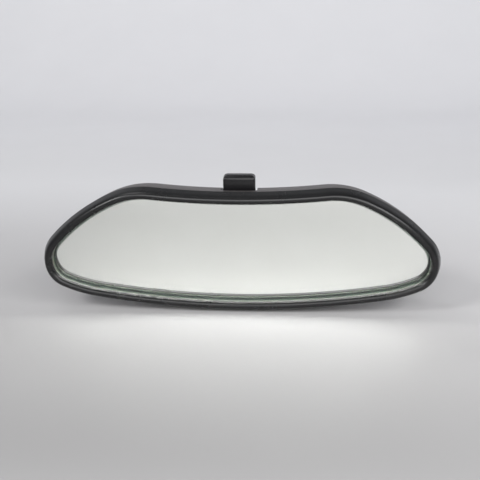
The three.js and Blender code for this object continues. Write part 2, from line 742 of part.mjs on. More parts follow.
lugPlaces.forEach(([x, z], i) => {
  const inner = capScrewShank + fit;
  const washer = turned([[inner, 0], [washerRadius, washerRise], [washerRadius, washerRise + washerThickness],
    [inner, washerThickness], [inner, 0]], 16).rotateX(Math.PI);
  const washerTop = flangeTop + fit + washerRise + washerThickness;
  add(`spring_washer_${i + 1}`, washer, "springSteel", socketFrame).position.set(x, washerTop, z);
  const piece = screw(capScrewHead, capScrewHeadHeight, capScrewShank, capScrewLength);
  const mesh = add(`cap_screw_${i + 1}`, piece, "steel", socketFrame);
  mesh.rotation.x = Math.PI;
  mesh.position.set(x, washerTop + fit + capScrewHeadHeight, z);
});

// Seats: a zone of a sphere between two polar angles.
function seat(name, from, to) {
  const inside = sphereProfile(seatInner, from, to);
  const outside = sphereProfile(seatOuter, to, from);
  add(name, turned([...inside, ...outside, inside[0]], ballSides), "nylon", socketFrame);
}

seat("rear_seat", rearSeatMouth, 90 - seatGapAngle);
seat("front_seat", 90 + seatGapAngle, frontSeatMouth);

// ---------------------------------------------------------------- stem, sleeve, foot, button and set screw

const neckAngle = THREE.MathUtils.radToDeg(Math.asin(neckRadius / ballRadius));
const spigotEnd = bossStart + spigotLength;
add("ball_stem", turned([
  ...sphereProfile(ballRadius, 180, neckAngle), [neckRadius, neckEnd], [shankRadius, shankStart],
  [shankRadius, bossStart - fit], [spigotRadius, bossStart - fit], [spigotRadius, spigotEnd - 0.8],
  [spigotRadius - 0.8, spigotEnd], [0, spigotEnd],
], ballSides), "steel", socketFrame);

const sleeveInner = shankRadius + fit;
const sleeveOuter = sleeveInner + sleeveWall;
const sleeveEnd = bossStart - fit;
add("stem_sleeve", turned([
  [sleeveInner, sleeveStart], [sleeveOuter - 1.2, sleeveStart], [sleeveOuter, sleeveStart + 1.6],
  [sleeveOuter + sleeveFlare, sleeveEnd], [sleeveInner, sleeveEnd], [sleeveInner, sleeveStart],
], ballSides), "housingPlastic", socketFrame);

const footBlock = acrossX(polygon(
  [footFront, footLift], [footRear, footLift], [footRear, footTop - footSlope], [footRear - 3, footTop],
  [footFront + footSlope, footTop], [footFront, footTop - footSlope],
), -footHalfWidth, footHalfWidth);
const footBoss = toHead(asSolid(rod(footBossRadius, "y", bossStart, spigotEnd + 6)));
const aboveLift = block(-footHalfWidth, footHalfWidth, footFront - 10, footRear, footLift, 60);
const spigotHole = toHead(asSolid(rod(spigotRadius + fit, "y", bossStart - 5, spigotEnd + fit)));
const dovetail = (margin, z0, z1) => polygon(
  [-buttonFaceWidth / 2 - margin, z0], [buttonFaceWidth / 2 + margin, z0],
  [buttonTopWidth / 2 + margin, z1], [-buttonTopWidth / 2 - margin, z1]);
const channel = alongY(dovetail(fit, 0, buttonThickness + fit), footFront - 5, buttonRear + fit);
const setScrewHole = rod(setScrewRadius + fit, "z", buttonThickness, footTop + 1, [0, setScrewDepth, 0]);
add("mount_foot", cut(
  common(join(footBlock, footBoss), aboveLift), spigotHole, channel, setScrewHole,
), "zinc");

add("windscreen_button", alongY(dovetail(0, 0, buttonThickness), buttonFront, buttonRear), "steel");

const setScrewBottom = buttonThickness + fit;
const setScrewTop = footTop - 0.6;
add("set_screw", cut(
  rod(setScrewRadius, "z", setScrewBottom, setScrewTop, [0, setScrewDepth, 0]),
  rod(setScrewSocket, "z", setScrewTop - 3, setScrewTop + 1, [0, setScrewDepth, 0], 6),
), "steel");

export default mirror;
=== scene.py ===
"""Interior rearview mirror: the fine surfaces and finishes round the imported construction.

Sizes are in millimetres and degrees. Local depth runs back from the bezel's frontmost line.
"""

import json
from math import asin, ceil, cos, degrees, pi, radians, sin, tan

import bmesh
import bpy
from mathutils import Matrix, Vector


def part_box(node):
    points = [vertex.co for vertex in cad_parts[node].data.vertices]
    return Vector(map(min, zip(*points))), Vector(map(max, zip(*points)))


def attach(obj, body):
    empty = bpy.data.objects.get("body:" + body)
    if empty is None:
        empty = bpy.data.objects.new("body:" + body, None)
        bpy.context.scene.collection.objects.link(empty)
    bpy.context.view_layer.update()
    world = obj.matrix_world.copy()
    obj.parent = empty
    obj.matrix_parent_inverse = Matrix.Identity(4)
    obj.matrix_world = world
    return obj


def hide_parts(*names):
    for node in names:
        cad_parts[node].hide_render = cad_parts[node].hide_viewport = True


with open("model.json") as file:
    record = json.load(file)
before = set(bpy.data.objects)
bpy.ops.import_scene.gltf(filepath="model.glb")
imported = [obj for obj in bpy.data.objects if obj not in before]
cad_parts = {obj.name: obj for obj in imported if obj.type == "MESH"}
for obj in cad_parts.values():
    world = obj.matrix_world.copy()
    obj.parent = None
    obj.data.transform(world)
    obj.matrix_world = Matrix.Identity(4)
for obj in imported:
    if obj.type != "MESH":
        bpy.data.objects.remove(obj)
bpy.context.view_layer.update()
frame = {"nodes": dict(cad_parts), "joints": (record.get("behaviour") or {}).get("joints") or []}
nodes = frame["nodes"]

MM = 0.001

# ---- sizes

GAP = 0.3  # between pieces that meet

# Head outline: radius and turn of each arc, from the middle of the lower edge to the shoulder.
HEAD_ARCS = [(566, 9.3), (90.6, 14.9), (19, 47.9), (22, 60.5), (118.7, 23.9), (51, 29.2)]

BEZEL_WIDTH = 6.5
RIDGE_INSET = 4.3
RIM_SETBACK = 7.8
RIM_THICKNESS = 0.6
FLANK_SLOPE = 3.2  # depth gained per inset
FLANK_INSET = 1.1
SHOULDER_CORNER = 2.15
CROWN_DEPTH = 0.35
LIP_SETBACK = 1.9
LIP_COVER = 0.3
POCKET_END = 11.7
SKIRT_WALL = 1.9
SKIRT_END = 13.5

GLASS_SETBACK = 4.5
GLASS_THICK = 5.6
GLASS_THIN = 3
ARRIS = 0.12
COAT_GAP = 0.1
COAT_THICKNESS = 0.3

HOUSING_WALL = 2.2
HOUSING_INSET = 0.3
SHOULDER_INSET = 0.9
SHOULDER_DEPTH = 17.5
REAR_FLAT = (0.35, 0.45)  # the flat of the back, as shares of the outline
NOTCH_FRONT = 13.5
NOTCH_FLOOR = 60
NOTCH_HALF = 11.3
APERTURE_INNER = 7.5
APERTURE_SWING = 31
APERTURE_LENGTH = 30

TAB_WIDTH = 20
TAB_FRONT = 16
TAB_THICKNESS = 8
TAB_REACH = 15.1
TAB_RISE = 0.8
TAB_NECK = 5.5
TAB_HEEL = (1.5, 2.5)  # behind the tab and up
TAB_ROUNDING = 2.6
FORK_HALF = 5.8
FORK_TOP = 0.6  # above the hub
LINK_RADIUS = 1.2
HUB_RADIUS = 4
PIN_RADIUS = 1.5

STEM_LEAN = 28
BALL_RADIUS = 7.5
NECK_RADIUS = 3.2
NECK_END = 13
SHANK_RADIUS = 4.5
SHANK_START = 17
SHANK_EASE = 0.6
SLEEVE_START = 26
SLEEVE_WALL = 3
SLEEVE_FLARE = 0.8
SLEEVE_ROUND = (1.2, 1.6)  # across and along
SPIGOT_RADIUS = 3.5
SEAT_WALL = 1.7
SOCKET_WALL = 1.8
# Degrees from the stem's direction.
CAP_MOUTH = 56
REAR_SEAT_MOUTH = 52
FRONT_SEAT_MOUTH = 150
SEAT_EDGE = 80
FLANGE_GAP = 0.15
FLANGE_THICKNESS = 2.25
FLANGE_WIDTH = 1.2
LUG_RADIUS = 3.4
LUG_OFFSET = 2.2
LUG_ANGLES = (-90, 30, 150)

FOOT_LENGTH = 30
FOOT_HALF_WIDTH = 14
FOOT_LIFT = 1
FOOT_TOP = 14
FOOT_SLOPE = 5
FOOT_HEEL = 3
FOOT_BOSS_RADIUS = 9
BUTTON_FACE = 16
BUTTON_TOP = 20
BUTTON_THICKNESS = 4.5
SET_SCREW_RADIUS = 2.5
SET_SCREW_SOCKET = 1.4

HOOK_PLACE = 0.24  # from the middle, as a share of the head's width
HOOK_WIDTH = 8
HOOK_WALL = 1.2
HOOK_CATCH = 1.5

CHASSIS_SCREW = {"Head Radius": 2.7, "Head Height": 1.7, "Shank Radius": 1.2, "Length": 9.3, "Pitch": 0.9}
CAP_SCREW = {"Head Radius": 2.3, "Head Height": 1.6, "Shank Radius": 1.25, "Length": 7.9, "Pitch": 0.7}

# ---- places taken from the frame

front_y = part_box("bezel_frame")[0].y
head_width = (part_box("bezel_frame")[1].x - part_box("bezel_frame")[0].x) / MM
head_height = (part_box("bezel_frame")[1].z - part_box("bezel_frame")[0].z) / MM
centre_height = head_height / 2 - 1
joints = {joint["name"]: joint for joint in frame["joints"]}


def at(x, depth, height):
    """A point of the head, from millimetres to the frame's metres."""
    return Vector((x * MM, front_y + depth * MM, height * MM))


def local(point_m):
    """A point of the frame, as millimetres in the head's own depth and height."""
    x, y, z = point_m
    return Vector((x / MM, (y - front_y) / MM, z / MM))


pivot = local(joints["lever_flip"]["pos_m"])
ball = local(joints["pan"]["pos_m"])
along_stem = Matrix.Translation(at(*ball)) @ Matrix.Rotation(-radians(STEM_LEAN), 4, "X")
rim_rear = RIM_SETBACK + RIM_THICKNESS
housing_front = rim_rear + GAP
skirt_inset = SHOULDER_INSET + HOUSING_WALL + GAP
skirt_inner = skirt_inset + SKIRT_WALL
glass_inset = BEZEL_WIDTH - LIP_COVER
pocket_inset = glass_inset - GAP
seat_outer = BALL_RADIUS + GAP + SEAT_WALL
socket_inner = seat_outer + GAP
socket_outer = socket_inner + SOCKET_WALL

# ---- shader and node helpers


def linear(colour):
    """An sRGB hex colour as linear RGBA."""
    parts = [int(colour[i:i + 2], 16) / 255 for i in (1, 3, 5)]
    return [p / 12.92 if p <= 0.04045 else ((p + 0.055) / 1.055) ** 2.4 for p in parts] + [1.0]


def add(tree, kind, inputs=(), **settings):
    """One node, with its settings and with each input set to a value or linked to a socket."""
    made = tree.nodes.new(kind)
    for name, value in settings.items():
        setattr(made, name, value)
    for socket, value in dict(inputs).items():
        if isinstance(value, bpy.types.NodeSocket):
            tree.links.new(value, made.inputs[socket])
        else:
            made.inputs[socket].default_value = value
    return made


def finish(name, values):
    """A material with constant values on its Principled shader, and the piece's own coordinates."""
    material = bpy.data.materials.new(name)
    material.use_nodes = True
    tree = material.node_tree
    shader = tree.nodes["Principled BSDF"]
    for socket, value in values.items():
        shader.inputs[socket].default_value = value
    return material, tree, shader, add(tree, "ShaderNodeTexCoord").outputs["Object"]


def vary(shader, pattern, colours, roughness, relief=None, grain=None):
    """Lets a pattern drive the colour, which it returns, the roughness and the relief.

    The relief is a depth in millimetres and a strength, and follows a grain of its own where one is given.
    """
    tree = shader.id_data
    tone = add(tree, "ShaderNodeMix", {0: pattern, 6: linear(colours[0]), 7: linear(colours[1])},
               data_type="RGBA")
    rough = add(tree, "ShaderNodeMapRange", {"Value": pattern, "To Min": roughness[0],
                                             "To Max": roughness[1]})
    tree.links.new(tone.outputs[2], shader.inputs["Base Color"])
    tree.links.new(rough.outputs["Result"], shader.inputs["Roughness"])
    if relief:
        bump = add(tree, "ShaderNodeBump", {"Height": grain or pattern, "Distance": relief[0] * MM,
                                            "Strength": relief[1]})
        tree.links.new(bump.outputs["Normal"], shader.inputs["Normal"])
    return tone.outputs[2]


def per_mm(size):
    """A texture scale whose features are about this many millimetres."""
    return 1 / (size * MM)


# ---- finishes


def grained_abs():
    """ABS moulded in a leather-grained tool: a broken, soft highlight on a charcoal ground."""
    material, tree, shader, where = finish("abs_leather_grained", {"IOR": 1.53, "Specular IOR Level": 0.4})
    # Real pebbles are about 0.5 mm across, drawn a little coarser so that they show.
    pebbles = add(tree, "ShaderNodeTexVoronoi", {"Vector": where, "Scale": per_mm(0.7)}, feature="SMOOTH_F1")
    creases = add(tree, "ShaderNodeTexNoise", {"Vector": where, "Scale": per_mm(1.7), "Detail": 3.0})
    height = add(tree, "ShaderNodeMath", {0: pebbles.outputs["Distance"], 1: creases.outputs["Fac"]},
                 operation="MULTIPLY")
    drift = add(tree, "ShaderNodeTexNoise", {"Vector": where, "Scale": per_mm(14), "Detail": 2.0})
    tone = add(tree, "ShaderNodeMix", {0: creases.outputs["Fac"], 6: linear("#0d0d0e"),
                                       7: linear("#141415")}, data_type="RGBA")
    rough = add(tree, "ShaderNodeMapRange", {"Value": drift.outputs["Fac"], "To Min": 0.25, "To Max": 0.31})
    bump = add(tree, "ShaderNodeBump", {"Height": height.outputs[0], "Distance": 0.1 * MM, "Strength": 0.45})
    tree.links.new(tone.outputs[2], shader.inputs["Base Color"])
    tree.links.new(rough.outputs["Result"], shader.inputs["Roughness"])
    tree.links.new(bump.outputs["Normal"], shader.inputs["Normal"])
    return material


def satin_abs():
    """ABS moulded in a fine spark-eroded tool: an even satin grey-black with a wide, pale sheen."""
    material, tree, shader, where = finish("abs_satin_moulded", {"IOR": 1.53, "Specular IOR Level": 0.5})
    sparks = add(tree, "ShaderNodeTexNoise", {"Vector": where, "Scale": per_mm(0.5), "Detail": 2.0})
    flow = add(tree, "ShaderNodeTexNoise", {"Vector": where, "Scale": per_mm(30), "Detail": 3.0})
    vary(shader, flow.outputs["Fac"], ("#3b3838", "#464242"), (0.40, 0.50), (0.05, 0.35),
         sparks.outputs["Fac"])
    return material


def tab_nylon():
    """Nylon moulded in a lightly blasted tool: nearly black, with a tight highlight on its edges."""
    material, tree, shader, where = finish("nylon_black_blasted", {"IOR": 1.53, "Specular IOR Level": 0.24})
    blast = add(tree, "ShaderNodeTexNoise", {"Vector": where, "Scale": per_mm(0.7), "Detail": 3.0})
    vary(shader, blast.outputs["Fac"], ("#161617", "#1d1c1e"), (0.22, 0.30), (0.06, 0.4))
    return material


def filled_nylon():
    """Glass-filled nylon: matt black, with the pale swirl that short fibres leave near the surface."""
    material, tree, shader, where = finish("nylon_glass_filled", {"IOR": 1.53})
    fibres = add(tree, "ShaderNodeTexNoise", {"Vector": where, "Scale": per_mm(2.5), "Detail": 4.0,
                                              "Distortion": 1.5})
    vary(shader, fibres.outputs["Fac"], ("#18181a", "#2a2a2b"), (0.55, 0.75), (0.04, 0.5))
    return material


def natural_nylon():
    """Unpigmented nylon: cream and slightly see-through, with a waxy gloss."""
    material, tree, shader, where = finish("nylon_natural", {
        "IOR": 1.53, "Subsurface Weight": 0.35, "Subsurface Radius": (0.9, 0.75, 0.5),
        "Subsurface Scale": 1 * MM})
    cloud = add(tree, "ShaderNodeTexNoise", {"Vector": where, "Scale": per_mm(4), "Detail": 2.0})
    vary(shader, cloud.outputs["Fac"], ("#ddd8c8", "#ece8dc"), (0.32, 0.45))
    return material


def polished_glass():
    """Soda-lime glass with polished faces: clear, a little green where the light goes a long way."""
    material, tree, shader, where = finish("glass_polished", {
        "IOR": 1.52, "Transmission Weight": 1.0, "Roughness": 0.0, "Base Color": linear("#fefffe")})
    roll = add(tree, "ShaderNodeTexNoise", {"Vector": where, "Scale": per_mm(60), "Detail": 0.0})
    # The faint waviness of ground and polished plate.
    bump = add(tree, "ShaderNodeBump", {"Height": roll.outputs["Fac"], "Distance": 0.005 * MM,
                                        "Strength": 0.2})
    tree.links.new(bump.outputs["Normal"], shader.inputs["Normal"])
    return material


def ground_glass():
    """The wheel-ground edge of the glass: frosted, pale at the front, with painted shade that turns it a
    deeper green near the silver.
    """
    material, tree, shader, where = finish("glass_ground_edge", {"IOR": 1.52, "Transmission Weight": 0.2})
    strokes = add(tree, "ShaderNodeTexNoise", {"Vector": where, "Scale": per_mm(0.6), "Detail": 3.0})
    pale = vary(shader, strokes.outputs["Fac"], ("#e6eedd", "#f2f7ea"), (0.45, 0.7), (0.01, 0.3))
    front, rear = (corner.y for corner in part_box("prism_glass"))
    # The green is the glass's own; its darkening from the front towards the silver is painted shade.
    apart = add(tree, "ShaderNodeSeparateXYZ", {"Vector": where})
    depth = add(tree, "ShaderNodeMapRange", {"Value": apart.outputs["Y"], "From Min": front + 1 * MM,
                                             "From Max": rear})
    tone = add(tree, "ShaderNodeMix", {0: depth.outputs["Result"], 6: pale, 7: linear("#738c7c")},
               data_type="RGBA")
    tree.links.new(tone.outputs[2], shader.inputs["Base Color"])
    return material


def silvering():
    """Chemically deposited silver seen through the glass: a bright, very slightly warm mirror."""
    material, tree, shader, where = finish("silver_deposited", {"Metallic": 1.0})
    haze = add(tree, "ShaderNodeTexNoise", {"Vector": where, "Scale": per_mm(22), "Detail": 4.0})
    full = vary(shader, haze.outputs["Fac"], ("#f8f8f5", "#fcfcfa"), (0.0, 0.02))
    # Near its edge the silver is painted a darker green: a painted reflection of the ground edge mirrored
    # there.
    margin = add(tree, "ShaderNodeAttribute", attribute_name="margin").outputs["Fac"]
    painted_reflection_share = add(tree, "ShaderNodeMapRange", {"Value": margin, "From Max": 0.5})
    painted_reflection_band = add(tree, "ShaderNodeMix", {0: painted_reflection_share.outputs["Result"], 6: full, 7: linear("#56675c")},
                  data_type="RGBA")
    tree.links.new(painted_reflection_band.outputs[2], shader.inputs["Base Color"])
    return material


def backing_lacquer():
    """The sprayed grey lacquer behind the silver: matt, with fine orange peel."""
    material, tree, shader, where = finish("lacquer_grey_sprayed", {"IOR": 1.5})
    peel = add(tree, "ShaderNodeTexNoise", {"Vector": where, "Scale": per_mm(1.2), "Detail": 1.0})
    vary(shader, peel.outputs["Fac"], ("#4e5457", "#5b6164"), (0.5, 0.65), (0.05, 0.5))
    return material


def foam_tape():
    """Closed-cell polyethylene foam: charcoal, dull and full of small cells."""
    material, tree, shader, where = finish("foam_closed_cell", {"IOR": 1.5, "Sheen Weight": 0.2})
    cells = add(tree, "ShaderNodeTexVoronoi", {"Vector": where, "Scale": per_mm(0.6)})
    vary(shader, cells.outputs["Distance"], ("#2a2a2c", "#4a4a4d"), (0.85, 1.0), (0.15, 1.0))
    return material


def plated_steel():
    """Steel with bright zinc plating: cool silver, cloudy in patches, with fine turning lines."""
    material, tree, shader, where = finish("steel_zinc_plated", {"Metallic": 1.0})
    clouds = add(tree, "ShaderNodeTexNoise", {"Vector": where, "Scale": per_mm(3), "Detail": 4.0})
    lines = add(tree, "ShaderNodeTexNoise", {"Vector": where, "Scale": per_mm(0.4), "Detail": 2.0})
    vary(shader, clouds.outputs["Fac"], ("#a9adb2", "#c9ccd0"), (0.24, 0.42), (0.02, 0.4),
         lines.outputs["Fac"])
    return material


def sintered_steel():
    """Pressed and sintered steel: grey, dull and finely pitted."""
    material, tree, shader, where = finish("steel_sintered", {"Metallic": 1.0})
    pits = add(tree, "ShaderNodeTexVoronoi", {"Vector": where, "Scale": per_mm(0.5)})
    vary(shader, pits.outputs["Distance"], ("#7b7d80", "#a0a2a5"), (0.45, 0.65), (0.06, 0.6))
    return material


def spring_steel():
    """Rolled and tempered strip: dark blue-grey, with streaks along the rolling direction."""
    material, tree, shader, where = finish("steel_spring_tempered", {"Metallic": 1.0})
    drawn = add(tree, "ShaderNodeMapping", {"Vector": where, "Scale": (12.0, 1.0, 1.0)})
    streaks = add(tree, "ShaderNodeTexNoise", {"Vector": drawn.outputs["Vector"], "Scale": per_mm(6),
                                               "Detail": 3.0})
    vary(shader, streaks.outputs["Fac"], ("#70757d", "#959aa1"), (0.28, 0.42))
    return material


def coated_casting():
    """Zinc die casting with a black dip coat: soft-edged and satin, with the pebble of the bath."""
    material, tree, shader, where = finish("zinc_casting_black_coated", {
        "IOR": 1.5, "Coat Weight": 0.15, "Coat Roughness": 0.3})
    bath = add(tree, "ShaderNodeTexNoise", {"Vector": where, "Scale": per_mm(1.5), "Detail": 3.0})
    vary(shader, bath.outputs["Fac"], ("#232427", "#303135"), (0.34, 0.5), (0.12, 0.4))
    return material


bezel_finish = grained_abs()
housing_finish = satin_abs()
tab_finish = tab_nylon()
chassis_finish = filled_nylon()
seat_finish = natural_nylon()
glass_finish = polished_glass()
edge_finish = ground_glass()
silver_finish = silvering()
lacquer_finish = backing_lacquer()
foam_finish = foam_tape()
plated_finish = plated_steel()
button_finish = sintered_steel()
spring_finish = spring_steel()
casting_finish = coated_casting()

# ---- mesh helpers


def skin(loops, ring=False):
    """A closed skin over loops of equal count: joined back to its start as a ring, or with flat ends."""
    made = bmesh.new()
    rows = [[made.verts.new(point) for point in loop] for loop in loops]
    for near, far in zip(rows, rows[1:] + rows[:1] if ring else rows[1:]):
        for k, corner in enumerate(near):
            after = (k + 1) % len(near)
            made.faces.new((corner, near[after], far[after], far[k]))
    if not ring:
        made.faces.new(rows[0])
        made.faces.new(rows[-1])
    bmesh.ops.recalc_face_normals(made, faces=made.faces)
    return made


def turned(profile, sides=72, place=Matrix.Identity(4)):
    """A profile of (radius, distance along +Y) turned round Y, which closes on itself or on the axis."""
    made = bmesh.new()
    spokes = [(cos(2 * pi * k / sides), sin(2 * pi * k / sides)) for k in range(sides)]
    rows = []
    for radius, along in profile:
        if radius < 1e-6:
            rows.append([made.verts.new((0, along * MM, 0))])
        else:
            rows.append([made.verts.new((radius * c * MM, along * MM, radius * s * MM)) for c, s in spokes])
    for near, far in zip(rows, rows[1:]):
        for k in range(sides):
            after = (k + 1) % sides
            corners = [near[k % len(near)], near[after % len(near)],
                       far[after % len(far)], far[k % len(far)]]
            made.faces.new(dict.fromkeys(corners))
    bmesh.ops.remove_doubles(made, verts=made.verts, dist=1e-7)
    made.transform(place)
    bmesh.ops.recalc_face_normals(made, faces=made.faces)
    return made


def rod(radius, start, end, sides, place):
    """A plain cylinder from one distance along +Y to another."""
    return turned([(0, start), (radius, start), (radius, end), (0, end)], sides, place)


def prism(corners, thickness, place=Matrix.Identity(4)):
    """A flat outline in X and Y, in millimetres, given a thickness along +Z."""
    made = bmesh.new()
    low = [made.verts.new((x * MM, y * MM, 0)) for x, y in corners]
    high = [made.verts.new((x * MM, y * MM, thickness * MM)) for x, y in corners]
    made.faces.new(low)
    made.faces.new(high)
    for k in range(len(corners)):
        after = (k + 1) % len(corners)
        made.faces.new((low[k], low[after], high[after], high[k]))
    made.transform(place)
    bmesh.ops.recalc_face_normals(made, faces=made.faces)
    return made


def arc(radius, start, end, steps, centre=(0, 0)):
    """Points on an arc, from one angle to another in degrees."""
    turns = [radians(start + (end - start) * k / steps) for k in range(steps + 1)]
    return [(centre[0] + radius * cos(t), centre[1] + radius * sin(t)) for t in turns]


def upright(x, depth, height):
    """A place whose +Z runs along X, with the outline's X as depth and Y as height."""
    return Matrix.Translation(at(x, depth, height)) @ Matrix(((0, 0, 1), (1, 0, 0), (0, 1, 0))).to_4x4()


def as_object(name, made):
    """A bmesh as an object of the scene."""
    data = bpy.data.meshes.new(name)
    made.to_mesh(data)
    made.free()
    piece = bpy.data.objects.new(name, data)
    bpy.context.scene.collection.objects.link(piece)
    return piece


def settle(piece):
    """Turns an object's modifiers into plain mesh."""
    bpy.context.view_layer.update()
    evaluated = piece.evaluated_get(bpy.context.evaluated_depsgraph_get())
    data = bpy.data.meshes.new_from_object(evaluated)
    piece.modifiers.clear()
    old = piece.data
    piece.data = data
    bpy.data.meshes.remove(old)
    data.name = piece.name
    return piece


def worked(piece, operation, tools):
    """Cuts or joins tool shapes, which are used up."""
    for tool in tools:
        other = as_object("tool", tool)
        change = piece.modifiers.new("work", "BOOLEAN")
        change.operation = operation
        change.solver = "MANIFOLD"
        change.object = other
        settle(piece)
        bpy.data.objects.remove(other)
    return piece


def softened(piece, width, segments=2, angle=40):
    """Rounds the edges that are sharper than an angle."""
    bevel = piece.modifiers.new("soft edges", "BEVEL")
    bevel.width = width * MM
    bevel.segments = segments
    bevel.limit_method = "ANGLE"
    bevel.angle_limit = radians(angle)
    return settle(piece)


def give(piece, material, slot, body, *replaced, sharp=35):
    """Finishes a piece: its material, shading, body and the CAD nodes that it stands for; the slot is not
    used.
    """
    if material:
        piece.data.materials.clear()
        piece.data.materials.append(material)
    piece.data.shade_smooth()
    piece.data.set_sharp_from_angle(angle=radians(sharp))
    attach(piece, body)
    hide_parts(*replaced)
    return piece


# ---- the head's outline


def head_outline(step=2.5, longest=3.5):
    """Points round the head, anticlockwise from the middle of its lower edge."""
    x, z, heading = 0.0, 0.0, 0.0
    half = [(x, z)]

    def follow(radius, turn, side):
        nonlocal x, z, heading
        count = ceil(max(degrees(turn) / step, radius * turn / longest))
        middle = (x - side * radius * sin(heading), z + side * radius * cos(heading))
        for k in range(1, count + 1):
            angle = heading + side * turn * k / count
            half.append((middle[0] + side * radius * sin(angle), middle[1] - side * radius * cos(angle)))
        x, z = half[-1]
        heading += side * turn

    for radius, turn in HEAD_ARCS:
        follow(radius, radians(turn), 1)
    overturn = heading - pi
    follow(x / sin(overturn), overturn, -1)
    wide = head_width / 2 / max(p[0] for p in half)
    tall = head_height / max(p[1] for p in half)
    right = [(p[0] * wide, p[1] * tall) for p in half]
    return right + [(-p[0], p[1]) for p in reversed(right[1:-1])]


outline = head_outline()
waist_height = max(p[1] for p in outline if abs(p[0]) < 1e-6)


def inward_normals(points):
    """The direction into the outline at each of its points."""
    normals = []
    for k in range(len(points)):
        before, after = points[k - 1], points[(k + 1) % len(points)]
        along = Vector((after[0] - before[0], after[1] - before[1])).normalized()
        normals.append((-along.y, along.x))
    return normals


inward = inward_normals(outline)


def loop(inset, depth, shrink=(1, 1)):
    """The outline moved in by an inset and shrunk about its centre, at a depth or a depth by height."""
    points = []
    for (x, z), (nx, nz) in zip(outline, inward):
        here_x = (x + nx * inset) * shrink[0]
        here_z = centre_height + (z + nz * inset - centre_height) * shrink[1]
        points.append(at(here_x, depth(here_z) if callable(depth) else depth, here_z))
    return points


# ---- bezel


def bend(start, corner, end, steps):
    """Points from start to end, leaving and arriving along the lines through the corner."""
    shares = [k / steps for k in range(1, steps + 1)]
    return [tuple((1 - t) ** 2 * a + 2 * t * (1 - t) * b + t ** 2 * c for a, b, c in zip(start, corner, end))
            for t in shares]


def bezel_face():
    """Inset and depth from the rim up a steep flank, over the shoulder and on to the ridge."""
    top_of_flank = (FLANK_INSET, RIM_SETBACK - FLANK_SLOPE * FLANK_INSET)
    corner = (SHOULDER_CORNER, RIM_SETBACK - FLANK_SLOPE * SHOULDER_CORNER)
    crown_start = (2 * corner[0] - FLANK_INSET, CROWN_DEPTH)
    crown_slope = (corner[1] - CROWN_DEPTH) / (crown_start[0] - corner[0])
    crown_corner = (crown_start[0] + CROWN_DEPTH / crown_slope, 0)
    flank = [(FLANK_INSET * k / 5, RIM_SETBACK - FLANK_SLOPE * FLANK_INSET * k / 5) for k in range(6)]
    shoulder = bend(top_of_flank, corner, crown_start, 8)
    return flank + shoulder + bend(crown_start, crown_corner, (RIDGE_INSET, 0), 5)


def hook(side, upper):
    """A snap hook behind the skirt: its section in inset and depth, given a width along the edge."""
    rear = local(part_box("bezel_frame")[1]).y
    catch = skirt_inner + HOOK_CATCH
    section = [(skirt_inner - HOOK_WALL, SKIRT_END - 1), (skirt_inner, SKIRT_END - 1),
               (skirt_inner, rear - HOOK_WALL), (catch, rear - HOOK_WALL), (catch, rear - HOOK_WALL / 2),
               (catch - HOOK_WALL, rear), (skirt_inner - HOOK_WALL, rear)]
    wanted = side * HOOK_PLACE * head_width
    row = [k for k, point in enumerate(outline) if (point[1] > centre_height) == upper]
    near = min(row, key=lambda k: abs(outline[k][0] - wanted))
    (x, z), (nx, nz) = outline[near], inward[near]
    turn = Matrix(((nx, 0, -nz), (0, 1, 0), (nz, 0, nx))).to_4x4()
    middle = Matrix.Translation((0, 0, -HOOK_WIDTH / 2 * MM))
    return prism(section, HOOK_WIDTH, Matrix.Translation(at(x, 0, z)) @ turn @ middle)


def bezel():
    """One smooth section all the way round: rim, rounded face, lip, pocket and skirt, and the snap hooks."""
    outer = [loop(*point) for point in bezel_face()]
    inner = [loop(RIDGE_INSET + (BEZEL_WIDTH - RIDGE_INSET) * sin(radians(t)),
                  LIP_SETBACK * (1 - cos(radians(t)))) for t in range(12, 91, 13)]
    break_edge = 0.25
    behind = [
        loop(BEZEL_WIDTH, GLASS_SETBACK - GAP - break_edge),
        loop(BEZEL_WIDTH - break_edge, GLASS_SETBACK - GAP),
        loop(pocket_inset, GLASS_SETBACK - GAP),
        loop(pocket_inset, POCKET_END),
        loop(skirt_inner, POCKET_END),
        loop(skirt_inner, SKIRT_END - break_edge),
        loop(skirt_inner - break_edge, SKIRT_END),
        loop(skirt_inset + break_edge, SKIRT_END),
        loop(skirt_inset, SKIRT_END - break_edge),
        loop(skirt_inset, rim_rear),
        loop(2 * break_edge, rim_rear),
        loop(break_edge / 2, rim_rear - break_edge),
    ]
    piece = as_object("bezel", skin(outer + inner + behind, ring=True))
    worked(piece, "UNION", [hook(side, upper) for side in (-1, 1) for upper in (True, False)])
    give(piece, bezel_finish, "bezel_plastic", "head", "bezel_frame")


# ---- glass and silver


glass_low = min(p[1] for p in outline) + glass_inset
glass_high = waist_height - glass_inset


def glass_rear(height):
    """Depth of the wedge's silvered face at a height."""
    share = (height - glass_low) / (glass_high - glass_low)
    return GLASS_SETBACK + GLASS_THICK + (GLASS_THIN - GLASS_THICK) * share


def prism_glass():
    """A wedge with polished faces; its edge and both arrises are ground."""
    made = skin([
        loop(glass_inset + ARRIS, GLASS_SETBACK),
        loop(glass_inset, GLASS_SETBACK + ARRIS),
        loop(glass_inset, lambda z: glass_rear(z) - ARRIS),
        loop(glass_inset + ARRIS, glass_rear),
    ])
    for face in made.faces:
        face.material_index = 0 if len(face.verts) > 4 else 1
    piece = as_object("mirror_glass", made)
    piece.data.materials.append(glass_finish)
    piece.data.materials.append(edge_finish)
    give(piece, None, "glass", "head", "prism_glass", sharp=20)


